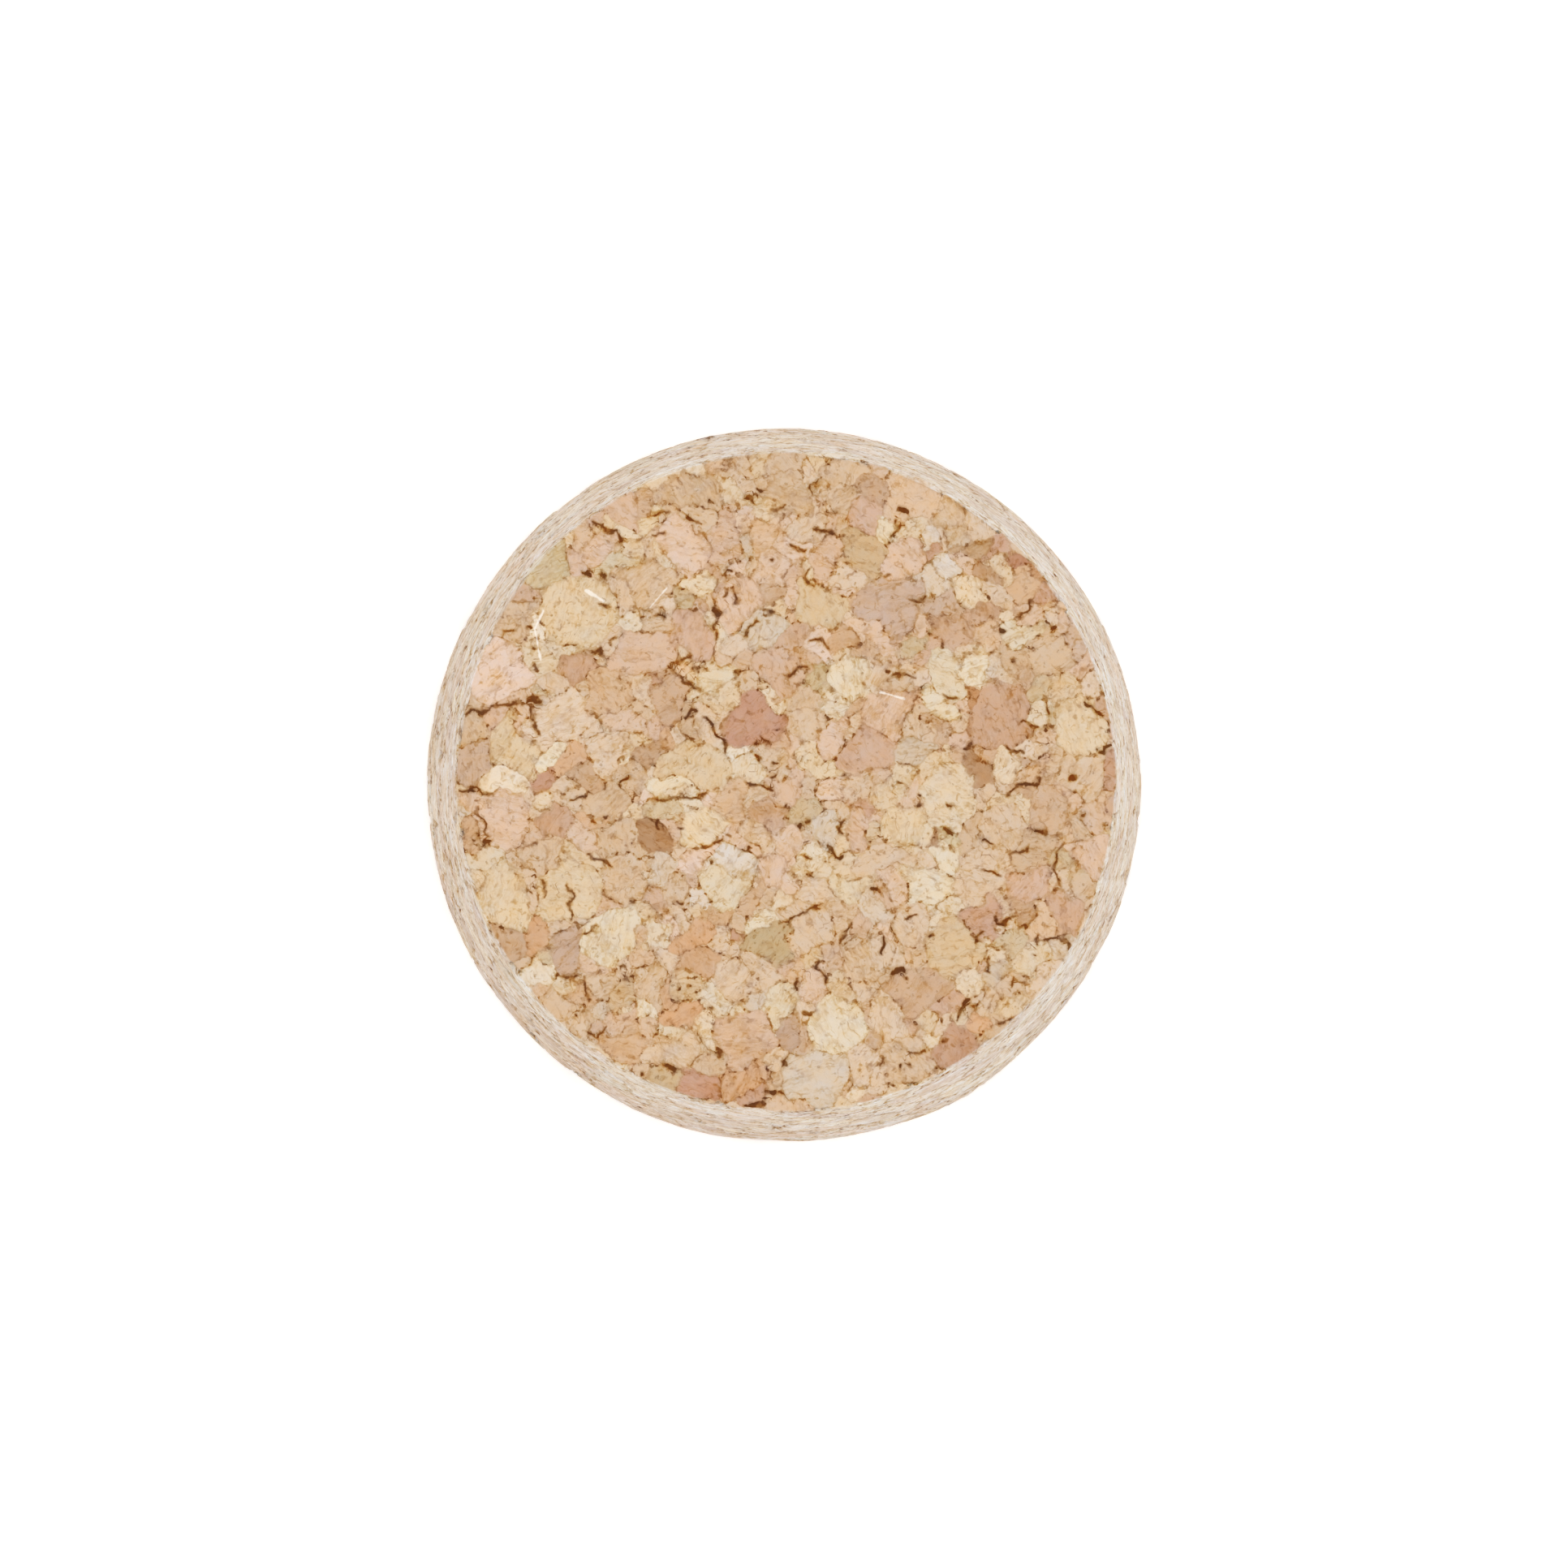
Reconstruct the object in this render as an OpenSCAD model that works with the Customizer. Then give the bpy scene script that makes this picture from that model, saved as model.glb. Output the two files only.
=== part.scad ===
// Tapered cork stopper, pressed from granules as one piece and ground to its taper.
// It stands on its wide end, with its axis along +Z and its narrow end up.

/* [Plug] */
// Diameter of the wide end, where the wall and the end face would meet
wide_d = 50; // [30:0.5:120]
// Diameter of the narrow end, where the wall and the end face would meet
narrow_d = 45; // [25:0.5:110]
// Height from one end face to the other
plug_h = 20; // [8:0.5:60]

/* [Rims] */
// Radius that eases the rim of the wide end
wide_rim_r = 0.5; // [0.2:0.1:2]
// Radius that eases the rim of the narrow end
narrow_rim_r = 0.3; // [0.2:0.1:2]

/* [Wear] */
// Size of the hollows that lost granules leave in the narrow end
hollow_scale = 1; // [0.5:0.1:1.5]
// Depth of the flats that are rubbed or crumbled off the two rims
flat_scale = 1; // [0.5:0.1:2]

/* [Hidden] */

cork = [0.84, 0.71, 0.57];
plug_facets = 96;
rim_facets = 32;

wide_r = wide_d / 2;
narrow_r = narrow_d / 2;
// Angle between the wall and the axis, positive where the plug narrows upwards
lean = atan2(wide_r - narrow_r, plug_h);

// Centres of the rim arcs in the half section, each one radius from the wall and from its end face
wide_arc = [wide_r - wide_rim_r * (1 + sin(lean)) / cos(lean), wide_rim_r];
narrow_arc = [narrow_r - narrow_rim_r * (1 - sin(lean)) / cos(lean), plug_h - narrow_rim_r];

// Hollows in the narrow end: [angle, share of the face's radius, side of the mouth, spin]
hollows = [
    [-60, 0.66, 1.4, 10],
    [-51, 0.87, 1.7, 75],
    [-44, 0.84, 1.0, 30],
    [112, 0.56, 1.5, 50],
    [105, 0.65, 1.1, 0],
    [-8, 0.49, 1.2, 95],
    [-57, 0.21, 1.6, 20],
    [-72, 0.16, 1.1, 65],
    [-94, 0.95, 1.9, 40]
];

// Flats on the rims, each [angle, bite measured along the end face's radius]
wide_flats = [[-93, 0.20], [-12, 0.12]];
narrow_flats = [[-40, 0.20], [-175, 0.22], [152, 0.28]];
// How far each flat's own normal rises above the end face's plane
wide_flat_rise = 0;
narrow_flat_rise = 45;

// Half section of the plug: two end faces and a leaning wall, joined by true arcs
module section() {
    wall_out = [cos(lean), sin(lean)];
    polygon([
        [0, 0],
        [wide_arc.x, 0],
        wide_arc,
        wide_arc + wide_rim_r * wall_out,
        narrow_arc + narrow_rim_r * wall_out,
        narrow_arc,
        [narrow_arc.x, plug_h],
        [0, plug_h]
    ]);
    translate(wide_arc) circle(r = wide_rim_r, $fn = rim_facets);
    translate(narrow_arc) circle(r = narrow_rim_r, $fn = rim_facets);
}

// Three-sided hollow that an angular granule leaves: a cube's corner, pointing straight down
module hollow(mouth) {
    depth = mouth / sqrt(6);
    translate([0, 0, -depth])
        rotate([0, -atan(sqrt(2)), 0])
            rotate([0, 0, -45])
                cube(2 * mouth);
}

// Block whose inner face shaves a rim, square to a radius that stands at this angle
module rim_flat(angle, rim_r, rim_z, bite, rise) {
    block = wide_r;
    rotate([0, 0, angle])
        translate([rim_r - bite, 0, rim_z])
            rotate([0, -rise, 0])
                translate([0, -block / 2, -block / 2])
                    cube(block);
}

module stopper() {
    color(cork)
        difference() {
            rotate_extrude($fn = plug_facets) section();
            for (h = hollows)
                rotate([0, 0, h[0]])
                    translate([h[1] * narrow_r, 0, plug_h])
                        rotate([0, 0, h[3]])
                            hollow(hollow_scale * h[2]);
            for (f = wide_flats)
                rim_flat(f[0], wide_arc.x + wide_rim_r, 0, flat_scale * f[1], wide_flat_rise);
            for (f = narrow_flats)
                rim_flat(f[0], narrow_r, plug_h, flat_scale * f[1], narrow_flat_rise);
        }
}

stopper();
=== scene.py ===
"""Round tapered stopper of pressed cork granules: mesh, material and a plain studio stage."""
import math

import bpy
import numpy as np
from mathutils import Matrix, Vector


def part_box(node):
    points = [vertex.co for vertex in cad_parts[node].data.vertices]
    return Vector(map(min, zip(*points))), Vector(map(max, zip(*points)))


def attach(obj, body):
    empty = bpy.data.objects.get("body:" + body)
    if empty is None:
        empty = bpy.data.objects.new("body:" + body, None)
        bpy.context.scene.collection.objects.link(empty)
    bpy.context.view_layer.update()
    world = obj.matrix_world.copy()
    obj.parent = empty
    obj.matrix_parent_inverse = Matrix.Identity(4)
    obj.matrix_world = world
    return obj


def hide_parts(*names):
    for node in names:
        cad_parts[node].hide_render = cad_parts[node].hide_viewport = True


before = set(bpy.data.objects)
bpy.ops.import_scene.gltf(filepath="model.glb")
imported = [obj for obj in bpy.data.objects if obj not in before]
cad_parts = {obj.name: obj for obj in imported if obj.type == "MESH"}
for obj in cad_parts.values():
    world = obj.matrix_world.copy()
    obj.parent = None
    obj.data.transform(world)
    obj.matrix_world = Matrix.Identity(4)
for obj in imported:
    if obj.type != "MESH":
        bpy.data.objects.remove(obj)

bl_info = {
    "name": "Cork Stopper",
    "version": (1, 0, 0),
    "blender": (4, 5, 0),
    "location": "3D View > Sidebar > Stopper",
    "description": "Builds a stopper of pressed cork granules on its packed frame",
    "category": "Add Mesh",
}

# Lengths in this script are millimetres until a mesh, lamp or camera takes them, in metres.
MM = 0.001
NODE = "stopper"
BODY = "root"
LOW, HIGH = (np.array(corner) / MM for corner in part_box(NODE))
REACH = float(HIGH[0] - LOW[0]) / 2
PLUG_H = float(HIGH[2] - LOW[2])

# The camera: its place and what it looks at, then its lens and the width of its film.
CAMERA_SPOT, CAMERA_AIM = (-5.7, -9.2, 790), (0.0, 0.08, 0.5)
LENS, FILM = 260, 36
# The stage, in metres and watts: half the floor's side, and the lamp's place, width and power.
FLOOR_HALF = 4.0
LAMP_SPOT, LAMP_SIZE, LAMP_POWER = (0.06, 0.04, 1.5), 0.9, 5.6
DOME_LIGHT, FLOOR_LIGHT = 1.0, 0.17


# ---------------------------------------------------------------- landmarks of the narrow face
# Large granules: x and y of the middle as it shows, width, height, turn in degrees, tint, shade.
# A shade is a step lighter (positive) or darker (negative) than the tint.
GRANULES = (
    # upper left
    (-11.2, 18.6, 2.6, 2.6, 0, "pink", -1),
    (-7.2, 16.1, 2.9, 3.4, 30, "pink", 1),
    (-6.8, 19.7, 5.0, 2.3, 0, "tan", -1),
    (-9.2, 17.5, 1.4, 1.2, 0, "yellow", 0),
    (-6.0, 13.3, 3.2, 1.3, 0, "yellow", 1),
    (-6.5, 10.8, 3.3, 3.3, 0, "rose", 1),
    (-10.0, 9.0, 4.0, 2.8, 0, "pink", -1),
    (-7.8, 5.7, 3.2, 4.2, 0, "brown", 1),
    (-14.0, 7.5, 2.8, 2.8, 0, "rose", -1),
    (-14.5, 11.5, 4.5, 5.0, 0, "yellow", 0),
    (-16.5, 15.0, 4.5, 4.0, 0, "olive", 2),
    (-19.7, 7.2, 3.8, 4.0, 0, "pink", 2),
    (-9.9, 13.9, 3.4, 2.6, 20, "tan", 0),
    (-12.6, 16.0, 2.4, 1.9, 0, "pink", 0),
    (-4.2, 16.4, 2.4, 3.4, 10, "pink", -1),
    (-3.2, 12.6, 2.6, 3.2, 0, "pink", 0),
    # left
    (-21.2, 3.5, 1.8, 3.0, 0, "tan", -1),
    (-19.0, 2.3, 3.6, 4.4, 0, "yellow", -0.6),
    (-15.0, 4.4, 4.2, 3.0, 0, "tan", 2),
    (-16.0, 1.4, 2.4, 1.1, 0, "cream", 1),
    (-16.5, 0.0, 2.4, 2.4, 0, "red", 0),
    (-15.8, -3.0, 2.3, 2.8, 0, "rose", -1),
    (-18.8, -2.7, 3.7, 4.0, 0, "pink", 0.3),
    (-21.3, -3.0, 1.2, 1.5, 0, "orange", -2),
    (-19.5, -7.4, 4.0, 5.0, 0, "yellow", 0),
    (-14.0, -7.2, 4.2, 4.4, 0, "yellow", -0.2),
    (-12.2, 2.2, 3.2, 2.4, 0, "tan", 1),
    (-12.4, -1.6, 3.0, 2.4, 0, "tan", -1),
    # lower left
    (-17.0, -10.3, 1.6, 3.6, -20, "rust", -0.8),
    (-15.0, -11.7, 2.8, 3.0, 0, "mauve", -1),
    (-11.3, -10.9, 4.7, 2.8, 25, "cream", -0.3),
    (-12.3, -14.0, 2.2, 2.2, 0, "tan", 0),
    (-9.0, -13.3, 2.8, 2.4, 0, "tan", 0),
    (-11.2, -18.3, 2.8, 2.4, 0, "orange", -0.5),
    (-7.0, -18.5, 3.5, 2.4, 0, "tan", 1),
    (-2.8, -17.8, 4.0, 4.0, 0, "pink", -1),
    (-6.0, -20.8, 3.3, 1.7, 0, "red", 1),
    (-3.3, -20.8, 2.6, 1.9, 0, "rust", 0),
    (-13.8, -16.2, 2.6, 2.0, 30, "tan", 0),
    (-6.9, -15.9, 2.6, 1.8, 0, "rust", 0),
    # lower middle
    (2.6, -20.0, 5.0, 3.8, 0, "grey", 0.3),
    (3.8, -16.8, 3.2, 3.9, 0, "cream", 0),
    (-0.5, -14.8, 2.3, 3.4, 0, "cream", -1),
    (0.4, -17.0, 1.3, 1.3, 0, "mauve", -2),
    (9.0, -14.5, 4.0, 3.0, 0, "brown", 1),
    (11.0, -15.0, 2.0, 2.0, 0, "rose", 0),
    (6.6, -16.0, 2.4, 4.0, 0, "tan", 1),
    (11.7, -11.3, 3.8, 3.2, 0, "yellow", -1.8),
    (9.9, -7.0, 4.0, 2.8, -30, "cream", 0),
    (1.8, -10.0, 3.4, 4.0, 0, "tan", 0),
    (-0.8, -11.2, 3.6, 1.9, 20, "olive", -2),
    (-1.9, -9.7, 1.8, 1.2, 0, "cream", 0),
    (-5.8, -10.3, 3.2, 2.2, 0, "rust", 0),
    (5.6, -11.9, 3.0, 3.2, 0, "tan", 0),
    (-3.9, -13.1, 3.0, 2.2, 0, "tan", 1),
    # middle
    (11.0, -5.2, 2.6, 2.2, 0, "cream", 0),
    (11.3, -4.1, 1.8, 0.8, 0, "olive", 2),
    (10.0, -3.9, 1.2, 1.3, 0, "brown", -5.5),
    (8.1, -3.1, 3.8, 3.0, 0, "yellow", 0),
    (5.0, -2.8, 1.8, 2.2, 0, "pink", -1),
    (2.8, -2.9, 1.8, 2.1, 0, "grey", 0),
    (6.0, -5.2, 4.5, 2.0, 0, "tan", 0),
    (4.2, -7.2, 2.6, 1.5, 0, "cream", -1),
    (-6.3, -5.2, 3.0, 1.9, 0, "pink", 2),
    (-5.7, -2.8, 4.0, 3.0, 0, "yellow", 1),
    (-4.3, -5.1, 2.8, 1.9, 0, "grey", 2),
    (-8.8, -3.8, 2.4, 1.3, 0, "brown", -4.5),
    (-11.5, -4.1, 3.0, 2.3, 0, "tan", -1),
    (-4.7, -7.2, 2.5, 2.0, 90, "cream", -1),
    (-5.5, 1.0, 5.0, 3.6, -15, "yellow", -1),
    (-9.0, -0.3, 1.7, 1.4, 0, "cream", 0.2),
    (-2.3, 4.1, 4.8, 3.3, 15, "red", 0.3),
    (1.0, 4.0, 2.0, 2.8, 0, "tan", 0),
    (3.0, 2.8, 2.0, 3.0, 0, "pink", 0.3),
    (2.3, 1.0, 3.4, 1.9, 0, "yellow", 0),
    (5.6, 1.8, 3.2, 3.2, 0, "rose", 0),
    (8.5, 1.7, 2.6, 2.6, 0, "grey", -1),
    (6.3, 4.7, 3.8, 2.7, 0, "pink", 0),
    (3.9, 6.7, 2.8, 2.3, 0, "cream", 0),
    (2.2, 7.2, 1.3, 1.3, 0, "olive", 0),
    (-1.0, -6.0, 3.0, 2.4, 0, "pink", 0),
    (0.2, -0.8, 2.4, 2.0, 0, "pink", -1),
    # right
    (10.3, 4.9, 3.1, 1.6, 0, "cream", 0),
    (12.8, 5.2, 1.0, 3.2, 10, "rust", -4),
    (15.0, 4.8, 4.8, 5.0, 0, "rose", -1),
    (20.1, 3.6, 4.0, 4.4, 0, "yellow", 0),
    (13.2, 7.8, 1.9, 2.6, 0, "cream", 0.5),
    (10.5, 7.8, 2.5, 2.9, 0, "cream", -1),
    (15.4, 10.0, 2.3, 2.3, 0, "cream", -1),
    (18.0, 8.5, 3.8, 2.8, 0, "tan", -1),
    (20.6, 8.0, 1.4, 3.0, 0, "pink", 0),
    (20.5, -4.8, 2.8, 2.2, 0, "pink", 0),
    (19.2, -9.3, 2.3, 2.4, 0, "rose", 0),
    (16.4, -7.0, 3.2, 2.3, 0, "rose", 1.5),
    (14.5, -12.8, 1.5, 1.5, 0, "grey", -1),
    (13.0, -16.4, 2.0, 1.0, 0, "rust", 1),
    (16.4, -9.0, 1.2, 1.4, 0, "brown", -0.2),
    (12.8, 1.7, 1.2, 1.1, 0, "brown", -4),
    (13.2, 0.6, 1.3, 1.0, 0, "brown", -4),
    (20.6, 0.2, 2.6, 3.2, 0, "tan", 0),
    (14.6, -2.6, 3.2, 2.4, 0, "tan", 0),
    # upper right
    (15.7, 15.1, 1.5, 1.0, -30, "red", -2),
    (17.0, 14.2, 1.6, 1.2, -30, "rust", -3),
    (16.0, 13.2, 2.6, 2.2, 0, "orange", -1),
    (5.7, 15.4, 3.4, 2.7, 0, "yellow", -3.5),
    (7.0, 17.4, 2.0, 1.2, 0, "cream", 0),
    (8.6, 15.2, 2.3, 2.2, 0, "pink", 0),
    (11.0, 14.6, 2.0, 1.8, 0, "grey", 2),
    (7.1, 12.0, 5.4, 3.4, 0, "mauve", 0),
    (6.9, 9.4, 2.3, 2.2, 0, "pink", 0),
    (2.0, 11.7, 4.2, 3.4, 0, "yellow", -1.8),
    (3.7, 9.8, 1.9, 1.5, 0, "orange", -2),
    (-1.2, 10.6, 2.5, 2.2, 0, "grey", 0),
    (-3.5, 9.2, 2.4, 2.0, 0, "tan", 1),
    (-4.6, 7.2, 2.2, 1.9, 0, "cream", -1),
    (5.2, 18.3, 1.8, 2.4, 0, "rose", 1),
    (4.0, 19.2, 2.2, 2.0, 0, "tan", -1),
    (6.0, 20.2, 2.2, 1.2, 0, "brown", 0),
    (11.0, 18.4, 2.8, 2.2, 0, "tan", 0),
    (13.0, 15.6, 2.0, 1.4, 0, "tan", -4),
    (13.3, 14.4, 1.8, 1.2, 0, "brown", -1.5),
    (0.2, 19.8, 3.4, 2.6, 0, "tan", -1),
    (-1.4, 16.6, 2.6, 2.8, 0, "orange", 1),
    (2.4, 15.0, 2.0, 3.0, 0, "pink", -1),
)

# Cracks between granules: half the width, then the points that the crack passes.
# A short one with a large half width is a pit that a small granule left.
CRACKS = (
    # upper left
    (0.17, (-5.4, 4.3), (-4.0, 2.2)),
    (0.32, (-4.8, 11.7), (-4.4, 11.5)),
    (0.09, (-4.6, 11.4), (-4.9, 9.7)),
    (0.24, (-3.95, 14.3), (-3.8, 14.35)),
    (0.10, (-4.4, 12.6), (-3.9, 13.1)),
    (0.10, (-3.5, 13.2), (-3.3, 12.3)),
    (0.18, (-6.9, 4.3), (-6.0, 4.9)),
    (0.10, (-6.4, 7.75), (-6.0, 7.75)),
    (0.08, (-7.9, 7.7), (-7.2, 6.9), (-6.0, 6.2)),
    (0.08, (-7.6, 8.2), (-6.6, 8.5)),
    (0.14, (-5.2, 8.1), (-5.0, 8.1)),
    (0.14, (-3.5, 7.5), (-3.3, 7.5)),
    (0.09, (0.0, 7.4), (1.3, 7.8)),
    (0.10, (1.8, 9.75), (2.4, 9.6)),
    (0.10, (2.5, 9.4), (2.9, 9.1)),
    (0.09, (-2.8, 10.1), (-1.8, 10.9)),
    (0.09, (-1.3, 11.6), (-0.6, 11.4)),
    (0.11, (2.0, 17.25), (2.9, 17.2), (3.2, 16.9)),
    (0.22, (-2.7, 19.3), (-2.3, 19.1)),
    (0.20, (-1.8, 19.9), (-1.6, 19.7)),
    (0.18, (-5.0, 19.0), (-4.8, 19.0)),
    (0.10, (-6.8, 18.1), (-5.9, 17.4)),
    (0.09, (-9.0, 18.3), (-8.2, 18.2)),
    (0.09, (-9.0, 16.7), (-8.5, 16.85)),
    (0.09, (-13.3, 17.6), (-12.6, 17.4), (-11.5, 16.9)),
    (0.20, (-11.25, 16.5), (-11.15, 16.4)),
    (0.24, (-13.65, 14.35), (-13.35, 14.25)),
    (0.16, (-12.4, 14.1), (-12.3, 14.0)),
    (0.12, (-12.6, 12.05), (-11.9, 11.95)),
    (0.12, (-11.35, 11.6), (-11.25, 11.6)),
    (0.10, (-10.45, 11.7), (-10.35, 11.7)),
    (0.11, (-9.65, 11.2), (-9.55, 11.2)),
    (0.10, (-8.9, 11.3), (-8.2, 11.1)),
    (0.10, (-11.9, 9.5), (-11.5, 9.9)),
    (0.12, (-13.3, 8.9), (-12.7, 8.8), (-12.3, 8.3)),
    (0.12, (-19.2, 10.0), (-18.5, 10.4)),
    (0.14, (-17.65, 10.5), (-17.55, 10.5)),
    (0.14, (-17.5, 9.6), (-17.4, 9.6)),
    (0.13, (-17.1, 8.9), (-17.0, 8.9)),
    (0.09, (-17.3, 7.9), (-16.9, 7.6)),
    (0.34, (-17.45, 5.65), (-16.95, 5.5)),
    (0.18, (-21.75, 5.25), (-21.65, 5.25)),
    (0.09, (-22.0, 4.6), (-20.8, 4.75), (-20.0, 5.1), (-18.0, 5.3), (-17.3, 5.0), (-17.1, 4.0),
     (-16.9, 3.3)),
    (0.14, (-17.35, 2.6), (-17.25, 2.6)),
    # lower left
    (0.10, (-22.2, -0.4), (-19.8, -0.9)),
    (0.09, (-21.0, -2.0), (-20.0, -3.8)),
    (0.22, (-20.5, -4.2), (-20.1, -4.2)),
    (0.14, (-17.15, -4.2), (-17.05, -4.2)),
    (0.10, (-14.5, -1.2), (-13.7, -1.0)),
    (0.22, (-11.2, 0.0), (-10.8, 0.05)),
    (0.16, (-7.35, -0.75), (-7.25, -0.75)),
    (0.08, (-8.9, -1.3), (-7.2, -1.1), (-5.4, -1.0)),
    (0.08, (-13.5, -4.9), (-12.0, -5.7)),
    (0.12, (-8.8, -2.6), (-8.5, -3.2)),
    (0.14, (-7.25, -3.1), (-7.15, -3.1)),
    (0.14, (-3.85, -3.6), (-3.75, -3.6)),
    (0.10, (-5.8, -4.4), (-4.3, -4.1)),
    (0.14, (-5.05, -5.4), (-4.95, -5.4)),
    (0.14, (-2.65, -4.6), (-2.55, -4.6)),
    (0.08, (-16.6, -6.8), (-16.5, -7.7)),
    (0.12, (-17.55, -7.3), (-17.45, -7.3)),
    (0.07, (-14.8, -6.9), (-14.6, -9.4)),
    (0.13, (-10.65, -8.1), (-10.55, -8.1)),
    (0.13, (-7.45, -8.3), (-7.35, -8.3)),
    (0.14, (-5.25, -15.2), (-5.15, -15.2)),
    (0.14, (-7.45, -14.0), (-7.35, -14.0)),
    (0.12, (-6.55, -13.9), (-6.45, -13.9)),
    (0.08, (-13.8, -10.4), (-12.8, -10.0)),
    (0.09, (-13.6, -17.0), (-13.2, -17.3), (-12.2, -16.8)),
    (0.16, (-14.35, -15.9), (-14.25, -15.9)),
    (0.13, (-10.95, -13.3), (-10.85, -13.3)),
    (0.10, (-11.3, -12.5), (-10.9, -12.4)),
    (0.08, (-13.6, -13.5), (-13.5, -14.8)),
    (0.09, (-15.0, -13.3), (-14.2, -13.2)),
    (0.16, (-8.4, -19.3), (-7.7, -19.5)),
    (0.18, (-9.65, -19.9), (-9.55, -19.9)),
    (0.13, (-4.65, -18.2), (-4.55, -18.8)),
    (0.12, (-5.15, -16.4), (-5.05, -16.4)),
    # lower middle
    (0.30, (-0.35, -18.9), (-0.25, -19.2)),
    (0.24, (-1.3, -21.05), (-0.7, -21.15)),
    (0.22, (-2.6, -21.85), (-1.3, -21.95)),
    (0.13, (-0.25, -21.1), (-0.15, -21.1)),
    (0.10, (8.3, -18.4), (9.2, -18.4)),
    (0.13, (7.75, -19.4), (7.85, -19.4)),
    (0.12, (8.3, -19.4), (8.4, -19.35)),
    (0.14, (10.85, -17.6), (10.95, -17.6)),
    (0.12, (14.6, -16.5), (15.3, -16.2)),
    (0.30, (7.45, -12.9), (7.95, -12.9)),
    (0.13, (8.05, -13.4), (8.15, -13.4)),
    (0.16, (12.3, -14.8), (11.9, -15.4), (11.8, -16.1)),
    (0.26, (12.7, -15.3), (12.9, -15.3)),
    (0.20, (9.85, -10.35), (10.15, -10.25)),
    (0.11, (15.2, -14.0), (15.4, -13.3), (15.9, -13.6)),
    (0.09, (13.8, -12.0), (13.6, -13.0)),
    (0.13, (14.3, -9.1), (14.9, -9.9), (15.5, -9.0)),
    (0.10, (13.0, -10.9), (13.3, -10.2)),
    (0.10, (17.0, -10.6), (17.2, -11.0)),
    (0.14, (16.75, -11.6), (16.85, -11.6)),
    (0.10, (17.7, -10.9), (18.8, -10.5), (19.4, -11.3)),
    (0.22, (1.15, -15.7), (1.45, -15.7)),
    (0.14, (0.6, -13.5), (1.0, -14.0)),
    (0.11, (2.1, -12.2), (2.7, -13.5)),
    (0.08, (-0.4, -9.6), (0.2, -9.5), (2.1, -8.4)),
    (0.16, (6.6, -10.7), (6.6, -11.4)),
    (0.08, (3.6, -11.0), (4.2, -9.6)),
    (0.09, (9.0, -9.0), (8.2, -9.3)),
    # middle
    (0.15, (-0.25, -1.8), (-0.15, -1.8)),
    (0.26, (0.85, -3.1), (1.0, -3.05)),
    (0.15, (1.45, -2.8), (1.55, -2.8)),
    (0.10, (1.0, -5.0), (1.9, -5.3)),
    (0.12, (2.9, -4.3), (3.3, -5.0)),
    (0.28, (3.3, -5.0), (3.7, -5.0)),
    (0.12, (3.8, -2.8), (3.55, -3.2), (3.8, -3.6)),
    (0.24, (6.0, -7.4), (6.25, -7.4)),
    (0.18, (7.75, 0.0), (7.85, 0.0)),
    (0.14, (3.85, 0.5), (3.95, 0.5)),
    (0.15, (8.95, -1.7), (9.05, -1.7)),
    (0.14, (9.2, -1.2), (9.3, -1.2)),
    (0.13, (10.8, -1.4), (11.4, -1.8)),
    (0.14, (10.8, -3.0), (11.3, -3.4)),
    (0.22, (13.4, -4.1), (13.8, -4.1)),
    (0.11, (13.3, -6.1), (14.5, -6.3)),
    (0.24, (17.3, -3.4), (17.5, -3.4)),
    (0.11, (16.4, -4.4), (15.2, -5.0)),
    (0.12, (19.0, -4.1), (18.3, -4.7), (18.2, -6.0), (18.8, -7.0)),
    (0.24, (20.1, -2.3), (20.3, -2.35)),
    (0.14, (15.2, -0.9), (15.8, -0.2), (17.3, 0.0)),
    (0.17, (19.6, 0.35), (19.6, 0.0)),
    (0.13, (-2.15, 2.7), (-2.05, 2.7)),
    (0.12, (-1.5, 3.1), (-1.2, 2.6)),
    (0.12, (-0.65, 3.7), (-0.55, 3.7)),
    (0.19, (-2.0, 1.65), (-1.8, 1.55)),
    (0.13, (-0.85, 1.2), (-0.75, 1.2)),
    (0.13, (-0.85, 0.4), (-0.75, 0.4)),
    (0.13, (-2.7, 0.0), (-2.0, -0.3), (-1.0, -0.3)),
    # right
    (0.16, (21.3, 2.2), (22.0, 2.5)),
    (0.14, (22.15, 3.9), (22.25, 3.9)),
    (0.14, (20.3, 5.5), (21.5, 4.5)),
    (0.13, (17.7, 5.3), (17.9, 4.6)),
    (0.11, (16.0, 4.0), (17.1, 3.85)),
    (0.10, (14.9, 2.4), (16.0, 2.0)),
    (0.12, (12.2, 2.3), (12.5, 2.6)),
    (0.10, (10.7, 5.75), (11.5, 5.6)),
    (0.14, (6.95, 7.6), (7.05, 7.6)),
    (0.11, (7.4, 7.3), (8.7, 7.1)),
    (0.22, (14.6, 10.3), (14.8, 10.3)),
    (0.19, (15.3, 8.3), (15.5, 8.3)),
    (0.13, (14.15, 8.7), (14.25, 8.7)),
    (0.13, (18.95, 9.6), (19.05, 9.6)),
    (0.13, (18.05, 10.4), (18.15, 10.4)),
    (0.10, (16.6, 12.4), (16.5, 11.6), (15.8, 11.2)),
    (0.12, (9.4, 12.5), (8.3, 12.3)),
    (0.13, (6.85, 14.0), (6.95, 14.0)),
    (0.26, (7.8, 18.5), (8.2, 18.4)),
    (0.13, (7.55, 17.6), (7.65, 17.6)),
    (0.11, (7.9, 17.3), (7.2, 16.9)),
    (0.15, (15.45, 16.3), (15.55, 16.3)),
    (0.09, (1.5, 14.4), (1.3, 13.7), (1.8, 13.3)),
    (0.14, (-1.15, 15.2), (-1.05, 15.2)),
    (0.10, (0.2, 16.1), (1.2, 15.7)),
    (0.10, (-0.9, 18.4), (0.0, 18.9)),
)

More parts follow.
